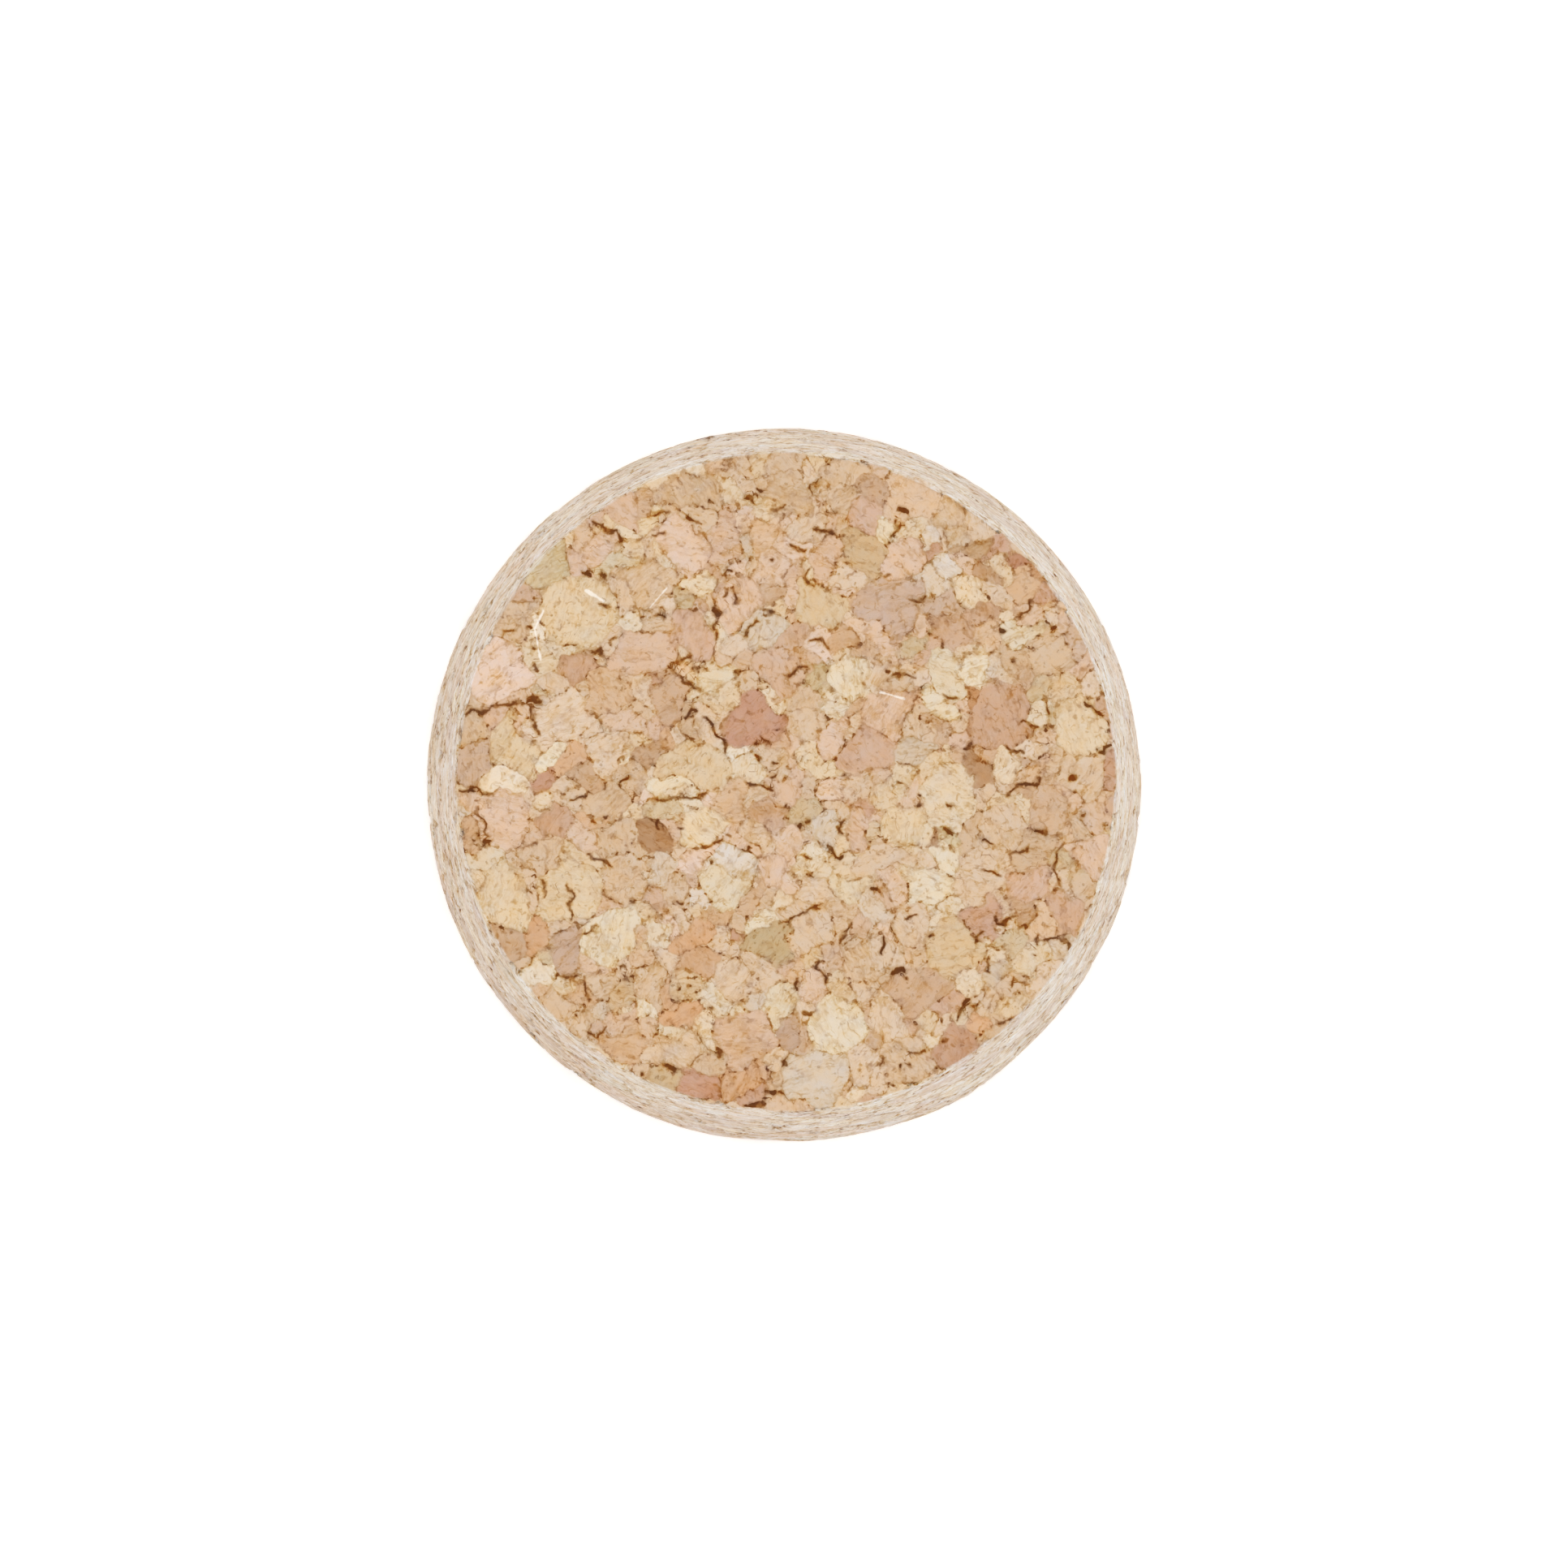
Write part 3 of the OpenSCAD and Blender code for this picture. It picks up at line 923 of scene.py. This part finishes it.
class Relief:
    """What the surface carries at each point: its granule, gap, crack and depth below the plug."""

    def __init__(self, shape, skin, granules, points, fitted, seed):
        self.granule, rivals, gaps = nearest_edges(points, skin.normals, granules, seed)
        gaps[0] = np.where(fitted, np.minimum(gaps[0], 0.01), gaps[0])
        other = rivals[np.arange(skin.count), gaps.argmin(axis=0)]
        self.edge, second = np.sort(gaps, axis=0)[:2]
        self.on_face = smooth_step(skin.normals[:, 2], 0.5, 0.9)
        self.on_wall = 1 - smooth_step(np.abs(skin.normals[:, 2]), 0.3, 0.9)
        # The wall is paler, with more dust and fewer open gaps, near the narrow end and on the side
        # towards the lamp (sunny); towards the lamp this is painted light.
        sunny = np.cos(np.arctan2(points[:, 1], points[:, 0]) - math.radians(5))
        self.rough_and_shaded_wall = 1 - 0.5 * points[:, 2] / PLUG_H - 0.3 * sunny
        self.dust_and_sheen = self.on_wall * (0.7 - 0.31 * self.rough_and_shaded_wall)
        self.crack = nearest_line(wobble(points), CRACKS)
        self.sliver = nearest_line(points, SLIVERS)
        self.crack[self.on_face < 0.5, :2] = FAR
        self.sliver[self.on_face < 0.5, :2] = FAR
        self._gaps(points, other, second)
        self._depth(shape, skin, granules, points, other)

    def _gaps(self, points, other, second):
        """How far each boundary gapes: drawn for each pair of granules, then varied along it.

        The draw mixes the pair's two numbers through large primes, so it is the same all along
        their boundary. About half of the boundaries stay shut.
        """
        low = np.minimum(self.granule, other)
        high = np.maximum(self.granule, other)
        draw = (low * 7919 + high * 104729) % 1009 / 1009
        gape = np.interp(draw, (0, 0.52, 0.8, 0.93, 1), (0, 0, 0.3, 0.65, 1))
        wander = waves(points, 41, 1.7) * 0.35 + waves(points, 57, 0.7) * 0.25
        gape = gape * np.clip(0.75 + wander, 0, 1.3)
        junction = 1 - smooth_step(second, 0.05, 0.45)
        gape += junction * np.clip(0.12 + 0.35 * waves(points, 63, 2.3), 0, 0.5)
        from_crack = np.hypot(self.crack[:, 0], self.crack[:, 1]) - self.crack[:, 2]
        gape *= 1 - 0.62 * self.on_face
        # On the wall fewer gaps stand open near the narrow end and, as painted light, on the side
        # towards the lamp.
        gape *= 1 - self.on_wall * (0.88 - 0.85 * self.rough_and_shaded_wall)
        gape += 0.15 * (1 - smooth_step(from_crack, 0.0, 0.4))
        self.gape = np.clip(gape, 0, 1.2)

    def _depth(self, shape, skin, granules, points, other):
        """Depth below the plug's own surface, in the direction of the inward normal."""
        height = points[:, 2]
        radius = np.hypot(points[:, 0], points[:, 1])
        away = points - granules.middles[self.granule]
        lean = (granules.tilts[self.granule] * away).sum(axis=1) * 0.012
        level = granules.levels[self.granule] * 0.11 + np.clip(lean, -0.03, 0.03) + 0.03
        across = granules.levels[other] * 0.11 + 0.03
        blend = smooth_step(self.edge, 0, 0.22)
        level = level * (0.5 + 0.5 * blend) + across * (0.5 - 0.5 * blend)
        level *= 1 - 0.6 * self.on_wall

        width = 0.13 + 0.14 * self.gape
        groove = 0.025 + shape.gap_depth / MM * self.gape ** 2
        groove = groove * (1 - smooth_step(self.edge, 0, width))

        half = self.crack[:, 2] * (1 + 0.2 * waves(points, 71, 0.6))
        off = np.hypot(self.crack[:, 0], self.crack[:, 1]) - half
        crack = (0.12 + 0.6 * half) * (1 - smooth_step(off, -0.15, 0.08))

        narrow_r = shape.narrow_d / MM / 2
        to_narrow = np.hypot(radius - narrow_r, height - PLUG_H)
        to_wide = np.hypot(radius - REACH, height)
        wear = granules.wear[self.granule] ** 2
        rub = (0.02 + 0.26 * wear) * np.exp(-((to_narrow / 0.55) ** 2))
        rub += (0.01 + 0.14 * wear) * np.exp(-((to_wide / 0.6) ** 2))
        fine = 0.006 * (waves(points, 83, 0.7) + 1.8)
        worn = np.maximum(level + groove + rub, 0) + fine
        self.depth = np.maximum(np.maximum(worn, crack), 0)
        angle = np.degrees(np.arctan2(points[:, 1], points[:, 0]))
        bulge = np.exp(-((angle - BULGE_ANGLE) / BULGE_SPREAD) ** 2)
        self.depth -= BULGE_OUT * self.on_wall * bulge * (1 - smooth_step(height, 1, 9))


def shave_rims(shape, points):
    """Moves what stands past each rim flat back onto it, along the flat's own normal."""
    narrow_r = shape.narrow_d / MM / 2
    corners = [(angle, REACH - bite, 0, 0) for angle, bite in WIDE_FLATS]
    corners += [(angle, narrow_r - bite, PLUG_H, NARROW_FLAT_RISE) for angle, bite in NARROW_FLATS]
    for angle, radius, height, rise in corners:
        turn, climb = math.radians(angle), math.radians(rise)
        way = np.array([
            math.cos(turn) * math.cos(climb), math.sin(turn) * math.cos(climb), math.sin(climb),
        ])
        foot = np.array([radius * math.cos(turn), radius * math.sin(turn), height])
        past = np.maximum((points - foot) @ way, 0)
        points -= past[:, None] * way
    return points


# ---------------------------------------------------------------- mesh
def make_mesh(name, points, triangles):
    """A smooth mesh from arrays of points, in metres, and of triangles."""
    mesh = bpy.data.meshes.new(name)
    mesh.vertices.add(len(points))
    mesh.vertices.foreach_set("co", points.astype(np.float32).ravel())
    mesh.loops.add(triangles.size)
    mesh.loops.foreach_set("vertex_index", triangles.astype(np.int32).ravel())
    mesh.polygons.add(len(triangles))
    mesh.polygons.foreach_set("loop_start", np.arange(0, triangles.size, 3, dtype=np.int32))
    mesh.polygons.foreach_set("use_smooth", np.ones(len(triangles), bool))
    mesh.update(calc_edges=True)
    return mesh


def give(mesh, name, domain, values):
    """Writes an array of vectors into the mesh as a named attribute of points or corners."""
    layer = mesh.attributes.new(name, "FLOAT_VECTOR", domain)
    layer.data.foreach_set("vector", values.astype(np.float32).ravel())


def build_stopper(shape, tints):
    """The stopper's mesh: the plug's skin fitted to its granules, then sunk by its relief."""
    seed = shape.seed * 100
    skin = Skin(shape)
    spacing = grid_spacing(skin)
    granules = Granules(shape, tints, skin, seed)
    points, fitted = fit_to_edges(skin, granules, spacing, seed)
    fit_to_cracks(skin, points, fitted, spacing)
    triangles = np.vstack([split_quads(skin.quads, points, fitted), skin.stitch])
    points = untangle(skin, points, triangles)
    relief = Relief(shape, skin, granules, points, fitted, seed)
    middles, facing = points[triangles].mean(axis=1), skin.normals[triangles].mean(axis=1)
    owner, rivals, gaps = nearest_edges(middles, facing, granules, seed)
    rival = rivals[np.arange(len(triangles)), gaps.argmin(axis=0)]
    low, high = np.minimum(owner, rival), np.maximum(owner, rival)
    side = np.where(owner == low, 1, -1)
    kind = np.stack([side, granules.clean[owner], np.zeros(len(owner))], axis=1)
    sunk = shave_rims(shape, points - skin.normals * relief.depth[:, None])

    mesh = make_mesh("stopper_granules", sunk * MM, triangles)
    give(mesh, "low_tint", "CORNER", np.repeat(granules.tints[low], 3, axis=0))
    give(mesh, "high_tint", "CORNER", np.repeat(granules.tints[high], 3, axis=0))
    give(mesh, "grain", "CORNER", np.repeat(granules.grain[owner], 3, axis=0))
    give(mesh, "kind", "CORNER", np.repeat(kind, 3, axis=0))
    give(mesh, "gap", "POINT", np.stack([relief.edge, relief.gape, relief.dust_and_sheen], axis=1))
    give(mesh, "crack", "POINT", relief.crack[:, :3])
    give(mesh, "sliver", "POINT", relief.sliver[:, :3])
    return mesh


# ---------------------------------------------------------------- shader
class Signal:
    """A number socket of a shader: + - * / and ** on it add Math nodes."""

    def __init__(self, sheet, socket):
        self.sheet, self.socket = sheet, socket

    def _math(self, operation, first, second):
        return self.sheet.maths(operation, first, second)

    def __add__(self, other):
        return self._math("ADD", self, other)

    def __sub__(self, other):
        return self._math("SUBTRACT", self, other)

    def __mul__(self, other):
        return self._math("MULTIPLY", self, other)

    def __truediv__(self, other):
        return self._math("DIVIDE", self, other)

    def __radd__(self, other):
        return self._math("ADD", other, self)

    def __rsub__(self, other):
        return self._math("SUBTRACT", other, self)

    def __rmul__(self, other):
        return self._math("MULTIPLY", other, self)

    def __pow__(self, other):
        return self._math("POWER", self, other)


class Sheet:
    """A material's node tree, and the few kinds of node that this object's finish needs."""

    def __init__(self, name):
        self.material = bpy.data.materials.new(name)
        self.material.use_nodes = True
        self.tree = self.material.node_tree
        self.tree.nodes.clear()

    def node(self, kind, settings=None, inputs=None, output=0):
        """Adds a node: its settings first, then each socket's value or link. Returns one output."""
        made = self.tree.nodes.new(kind)
        for key, value in (settings or {}).items():
            setattr(made, key, value)
        for key, value in (inputs or {}).items():
            if isinstance(value, Signal):
                self.tree.links.new(value.socket, made.inputs[key])
            else:
                made.inputs[key].default_value = value
        return Signal(self, made.outputs[output])

    def maths(self, operation, *values):
        """One Math node on numbers."""
        return self.node("ShaderNodeMath", {"operation": operation}, dict(enumerate(values)))

    def attribute(self, name):
        """A vector attribute of the mesh."""
        return self.node("ShaderNodeAttribute", {"attribute_name": name}, output="Vector")

    def parts(self, vector):
        """The three numbers of a vector."""
        split = self.node("ShaderNodeSeparateXYZ", {}, {0: vector}).socket.node
        return [Signal(self, split.outputs[i]) for i in range(3)]

    def vector(self, operation, first, second=None, scale=None, output=0):
        """Vector Math on vectors and colours."""
        inputs = {0: first}
        if second is not None:
            inputs[1] = second
        if scale is not None:
            inputs["Scale"] = scale
        return self.node("ShaderNodeVectorMath", {"operation": operation}, inputs, output)

    def noise(self, place, size, detail=2.0, rough=0.5):
        """Noise about zero, mostly within a quarter either way, with features of this size."""
        found = self.node("ShaderNodeTexNoise", {"noise_dimensions": "3D"}, {
            "Vector": place, "Scale": 1 / size, "Detail": detail, "Roughness": rough,
        })
        return found - 0.5

    def tangle(self, place, size):
        """Noise as a vector, each part of it about a half."""
        return self.node(
            "ShaderNodeTexNoise", {}, {"Vector": place, "Scale": 1 / size, "Detail": 2}, 1)

    def fade(self, value, start, end):
        """0 at start and 1 at end, smooth between, where start may be the larger."""
        return self.node("ShaderNodeMapRange", {"interpolation_type": "SMOOTHSTEP"}, {
            "Value": value, "From Min": start, "From Max": end,
        })

    def mix(self, share, under, over):
        """Colour under with this share of colour over."""
        return self.node("ShaderNodeMix", {"data_type": "RGBA"}, {0: share, 6: under, 7: over}, 2)

    def line(self, name):
        """The distance from the nearest drawn line of this attribute, and that line's half width."""
        across, past, half = self.parts(self.attribute(name))
        return self.maths("SQRT", across * across + past * past), half

    def finish(self, shader):
        """Puts the shader on the material's surface, and returns the material."""
        out = self.tree.nodes.new("ShaderNodeOutputMaterial")
        self.tree.links.new(shader.socket, out.inputs["Surface"])
        return self.material


def pressed_cork(tints):
    """Matt ground cork: each granule's tint and grain, with gaps, cracks, slivers and dust, painted
    shade and highlights at seams, gaps and cracks, and painted sheen in the wall's dust.

    Whatever darkens or lightens the cork goes into one number, lit. Cork takes more out of green
    than out of red, and most out of blue, so lit is raised to its own power for each of them.
    """
    sheet = Sheet("pressed_cork")
    solid = sheet.node("ShaderNodeTexCoord", output="Object")
    place = sheet.vector("SCALE", solid, scale=1 / MM)

    def shifted(x, y, z):
        """The place moved aside, so that noises of one size don't coincide."""
        return sheet.vector("ADD", place, (x, y, z))

    ruffle = sheet.vector("SUBTRACT", sheet.tangle(place, 0.9), (0.5, 0.5, 0.5))
    ruffled = sheet.vector("ADD", place, sheet.vector("SCALE", ruffle, scale=0.9))
    cloud = sheet.noise(place, 2.4, 1.0)
    mottle = sheet.noise(place, 0.8, 2.0)
    fine = sheet.noise(place, 0.2, 2.0, 0.6)
    side, clean, _ = sheet.parts(sheet.attribute("kind"))
    edge, gape, dust_and_sheen = sheet.parts(sheet.attribute("gap"))
    # How far past the torn seam a point lies: positive on the side of the granule numbered lower.
    past_seam = side * edge + (mottle * 0.7 + fine * 0.3) * (1 - gape)
    off_seam = sheet.maths("ABSOLUTE", past_seam)

    # The cork of the granules, with fibres drawn out along each one's grain.
    grain = sheet.attribute("grain")
    strength = sheet.vector("LENGTH", grain, output="Value")
    way = sheet.vector("NORMALIZE", grain)
    along = sheet.vector("DOT_PRODUCT", ruffled, way, output="Value")
    drawn_out = sheet.vector("SUBTRACT", ruffled, sheet.vector("SCALE", way, scale=along * 0.92))
    streak = sheet.noise(drawn_out, 0.22, 2.0, 0.6)
    coarse_streak = sheet.noise(sheet.vector("ADD", drawn_out, (4.0, 9.0, 2.0)), 0.7, 1.0)
    fibrous = 0.35 + strength * 0.65
    lit = 0.98 + cloud * 0.24 + mottle * 0.3 + fine * 0.24
    lit = lit + (streak * 1.08 + coarse_streak * 0.68) * fibrous
    torn = sheet.vector("ADD", ruffled, sheet.vector("SCALE", sheet.tangle(place, 0.35), scale=0.35))
    flakes = []
    for size, mixed in ((0.9, 1 - clean * 0.4), (0.4, 1 - clean * 0.7), (1.7, 1)):
        found = sheet.node("ShaderNodeTexVoronoi", {"feature": "F1"}, {
            "Vector": torn, "Scale": 1 / size,
        }, "Color")
        flakes.append([(part - 0.5) * mixed for part in sheet.parts(found)])
    flake_hue = flakes[0][1] + flakes[1][1] + flakes[2][1]
    lit = lit * (1 + flakes[0][0] * 0.16 + flakes[1][0] * 0.12 + flakes[2][0] * 0.15)
    ragged = mottle * 0.16 + fine * 0.22
    # As if one granule lapped over the other: a painted highlight along the lip on one side, a painted
    # shadow on the other.
    painted_lip_highlight = sheet.fade(past_seam, 0.0, -0.1) * sheet.fade(past_seam, -0.45, -0.15)
    shade = sheet.fade(past_seam, -0.03, 0.05) * sheet.fade(past_seam, 0.42, 0.04)
    lit = lit + painted_lip_highlight * 0.09 - shade * 0.13
    lit = sheet.maths("SMOOTH_MIN", lit, 0.99, 0.2)

    # Broken lines between flakes, along the grain and round pores.
    dash = sheet.fade(sheet.noise(shifted(5.0, 2.0, 13.0), 0.5, 1.0), -0.01, 0.1)
    crowd = sheet.fade(sheet.noise(shifted(8.0, 1.0, 4.0), 2.6, 1.0), -0.12, 0.14)
    flake = sheet.node("ShaderNodeTexVoronoi", {"feature": "DISTANCE_TO_EDGE"}, {
        "Vector": torn, "Scale": 1 / 0.9,
    })
    flake_line = sheet.fade(flake + fine * 0.10, 0.1, 0.03) * dash * (0.3 + crowd * 0.7)
    lit = lit * (1 - flake_line * (1 - clean * 0.55) * 0.36)
    grain_line = sheet.fade(sheet.maths("ABSOLUTE", coarse_streak), 0.04, 0.0)
    lit = lit * (1 - grain_line * (0.3 + dash * 0.7) * 0.29)
    pore = sheet.fade(sheet.noise(shifted(3.0, 17.0, 9.0), 0.36, 1.0), 0.19, 0.26)
    lit = lit * (1 - pore * (1 - clean * 0.7) * 0.36)

    # Seams between granules, and gaps where they stand open.
    dots = sheet.fade(sheet.noise(shifted(1.0, 5.0, 21.0), 0.3, 1.0), 0.0, 0.12)
    seam = sheet.fade(off_seam - dots * dash * 0.05, 0.12, 0.02)
    often = 0.45 + crowd * 0.6
    lit = lit * (1 - seam * (0.16 + dash * (0.29 + gape * 0.15) * often + dash * dots * often * 0.38))
    # Painted soft shade beside the broken seams.
    lit = lit * (1 - sheet.fade(off_seam, 0.34, 0.04) * dash * 0.1)
    # A darker band round the open gaps: partly stain, partly painted shade.
    gap_stain_and_shade = sheet.fade(edge + ragged, 0.28, 0.03) * sheet.fade(gape, 0.15, 0.7)
    lit = lit * (1 - gap_stain_and_shade * 0.35)
    # Inside the open gaps: dark binder, and painted shade of the hollow.
    open_gap = sheet.fade(gape * 0.11 - edge - 0.02 + ragged * 0.5, -0.01, 0.05)
    lit = lit * (1 - open_gap * 0.8)

    # Cracks: a soft shade on both sides, and a dark core that breaks here and there.
    away, half = sheet.line("crack")
    away = away - 0.05 - half * (0.42 + mottle * 2.0) + ragged * 0.8
    lit = lit * (1 - sheet.fade(away, 0.15, 0.0) * 0.35)
    broken = sheet.fade(sheet.noise(shifted(2.0, 11.0, 6.0), 0.55, 1.0), -0.12, 0.03)
    # The dark core is the crack's dark binder and painted shade in its hollow.
    core = sheet.fade(away, 0.03, -0.04) * (0.36 + broken * 0.36 + sheet.fade(half, 0.08, 0.2) * 0.22)
    lit = lit * (1 - core)
    lit = sheet.maths("MAXIMUM", lit, 0.09)

    # Colour: the tints of the two granules meet at the seam, under a thin veil of common cork.
    sharp = past_seam * (2.2 + crowd * 6.5)
    tint = sheet.mix(sheet.fade(sharp, -1, 1), sheet.attribute("high_tint"), sheet.attribute("low_tint"))
    veil = sheet.fade(sheet.noise(shifted(12.0, 3.0, 27.0), 1.3, 2.0), -0.2, 0.3)
    tint = sheet.mix(veil * 0.2, tint, (*tints.tan, 1))
    # The sanded wall: scratches that run round it, brown specks, and pale dust that also paints the
    # wall's sheen and, towards the lamp, painted light.
    scratch = sheet.noise(sheet.vector("MULTIPLY", place, (0.25, 0.25, 3.4)), 1.0, 3.0, 0.6)
    worn = 0.4 + sheet.fade(dust_and_sheen, 0.56, 0.34) * 0.6
    lit = lit * (1 + dust_and_sheen * worn * (scratch * 1.8 + fine * 0.5))
    tall = sheet.vector("MULTIPLY", shifted(14.0, 2.0, 8.0), (1.0, 1.0, 0.75))
    speck = sheet.fade(sheet.noise(tall, 1.1, 3.0, 0.6) + fine * 0.25, 0.12, 0.24)
    speck = speck * sheet.fade(dust_and_sheen, 0.62, 0.46) * sheet.fade(dust_and_sheen, 0.1, 0.25)
    lit = lit * (1 - speck * (0.62 + cloud * 0.9))
    # Pale dust and painted sheen mixed into the wall's tint.
    tint = sheet.mix(dust_and_sheen * (1 + cloud * 1.3 + mottle * 1.9 + scratch * 0.8), tint, (*tints.dust_and_sheen, 1))
    # Warmer and cooler patches, as lit goes into the three colours.
    warm = sheet.noise(shifted(31.0, 7.0, 5.0), 1.2, 4.0, 0.65) + flake_hue * 0.1
    cool = sheet.noise(shifted(6.0, 19.0, 2.0), 1.1, 2.0)
    colour = sheet.vector("MULTIPLY", tint, sheet.node("ShaderNodeCombineXYZ", {}, {
        0: lit ** (0.6 + cool * 0.5) * (1 + warm * 0.12),
        1: lit * (1 - warm * 0.12),
        2: lit ** (1.68 - cool * 2) * (1 - warm * 0.55),
    }))

    # Slivers of binder.
    away, half = sheet.line("sliver")
    away = away - half * (0.6 + mottle * 4)
    colour = sheet.mix(sheet.fade(away, 0.06, -0.05) * 0.65, colour, (*tints.sliver, 1))

    bumps = fine * 0.05 + streak * 0.05 + mottle * 0.05 - pore * 0.03
    normal = sheet.node("ShaderNodeBump", {}, {"Strength": 1.0, "Distance": MM, "Height": bumps})
    return sheet.finish(sheet.node("ShaderNodeBsdfPrincipled", {}, {
        "Base Color": colour, "Roughness": 0.86 + fine * 0.2, "Normal": normal,
        "Specular IOR Level": 0.15, "Sheen Weight": 0.2, "Sheen Roughness": 0.3,
    }))


def plain_white():
    """The matt white of the studio floor, a sheet that is faintly lit from below."""
    sheet = Sheet("studio_white")
    place = sheet.node("ShaderNodeTexCoord", output="Object")
    shade = sheet.noise(place, 0.4, 1.0) * 0.01 + 0.93
    white = sheet.node("ShaderNodeCombineXYZ", {}, {0: shade, 1: shade, 2: shade})
    return sheet.finish(sheet.node("ShaderNodeBsdfPrincipled", {}, {
        "Base Color": white, "Roughness": 0.9, "Specular IOR Level": 0.2,
        "Emission Color": (1, 1, 1, 1), "Emission Strength": FLOOR_LIGHT,
    }))


# ---------------------------------------------------------------- operators
class STOPPER_OT_camera(bpy.types.Operator):
    """Places the camera almost straight above the narrow face"""

    bl_idname = "stopper.camera"
    bl_label = "Camera"

    def execute(self, context):
        lens = bpy.data.cameras.new("camera")
        lens.sensor_width = FILM
        lens.lens = LENS
        lens.clip_start, lens.clip_end = 0.05, 20
        spot = Vector(CAMERA_SPOT) * MM
        aim = Vector(CAMERA_AIM) * MM
        back = (spot - aim).normalized()
        right = Vector((0, 1, 0)).cross(back).normalized()
        up = back.cross(right)
        camera = bpy.data.objects.new("camera", lens)
        camera.matrix_world = Matrix.Translation(spot) @ Matrix((right, up, back)).transposed().to_4x4()
        context.scene.collection.objects.link(camera)
        context.scene.camera = camera
        return {"FINISHED"}


class STOPPER_OT_stage(bpy.types.Operator):
    """Lays the white floor and hangs the lamp above it, under an even white dome"""

    bl_idname = "stopper.stage"
    bl_label = "Stage"

    def execute(self, context):
        scene = context.scene
        half = FLOOR_HALF
        mesh = bpy.data.meshes.new("floor")
        corners = [(-half, -half, 0), (half, -half, 0), (half, half, 0), (-half, half, 0)]
        mesh.from_pydata(corners, [], [(0, 1, 2, 3)])
        mesh.materials.append(plain_white())
        floor = bpy.data.objects.new("floor", mesh)
        scene.collection.objects.link(floor)

        lamp = bpy.data.lights.new("lamp", "AREA")
        lamp.shape = "DISK"
        lamp.size = LAMP_SIZE
        lamp.energy = LAMP_POWER
        hung = bpy.data.objects.new("lamp", lamp)
        hung.location = LAMP_SPOT
        hung.rotation_mode = "QUATERNION"
        hung.rotation_quaternion = hung.location.to_track_quat("Z", "Y")
        scene.collection.objects.link(hung)

        world = bpy.data.worlds.new("dome")
        world.use_nodes = True
        sky = world.node_tree.nodes["Background"]
        sky.inputs["Color"].default_value = (1, 1, 1, 1)
        sky.inputs["Strength"].default_value = DOME_LIGHT
        scene.world = world
        scene.view_settings.view_transform = "Standard"
        return {"FINISHED"}


class STOPPER_OT_body(bpy.types.Operator):
    """Builds the stopper with its granules, gaps and worn rims in place of the plain solid"""

    bl_idname = "stopper.body"
    bl_label = "Stopper"

    def execute(self, context):
        scene = context.scene
        mesh = build_stopper(scene.stopper_shape, scene.cork_tints)
        mesh.materials.append(pressed_cork(scene.cork_tints))
        piece = bpy.data.objects.new("stopper_granules", mesh)
        scene.collection.objects.link(piece)
        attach(piece, BODY)
        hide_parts(NODE)
        return {"FINISHED"}


class STOPPER_PT_panel(bpy.types.Panel):
    """Sizes, colours and steps of the stopper"""

    bl_idname = "STOPPER_PT_panel"
    bl_label = "Cork Stopper"
    bl_space_type = "VIEW_3D"
    bl_region_type = "UI"
    bl_category = "Stopper"

    def draw(self, context):
        for group in (context.scene.stopper_shape, context.scene.cork_tints):
            box = self.layout.box()
            for name in group.bl_rna.properties.keys():
                if name not in ("rna_type", "name"):
                    box.prop(group, name)
        for step in STEPS:
            self.layout.operator(step.bl_idname)


STEPS = (STOPPER_OT_camera, STOPPER_OT_stage, STOPPER_OT_body)
CLASSES = (StopperShape, CorkTints, *STEPS, STOPPER_PT_panel)


def register():
    for cls in CLASSES:
        bpy.utils.register_class(cls)
    bpy.types.Scene.stopper_shape = bpy.props.PointerProperty(type=StopperShape)
    bpy.types.Scene.cork_tints = bpy.props.PointerProperty(type=CorkTints)


def unregister():
    del bpy.types.Scene.cork_tints
    del bpy.types.Scene.stopper_shape
    for cls in reversed(CLASSES):
        bpy.utils.unregister_class(cls)


def main():
    """Runs every step in order."""
    register()
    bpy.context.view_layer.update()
    bpy.ops.stopper.camera()
    bpy.ops.stopper.stage()
    bpy.ops.stopper.body()


if __name__ == "__main__":
    main()
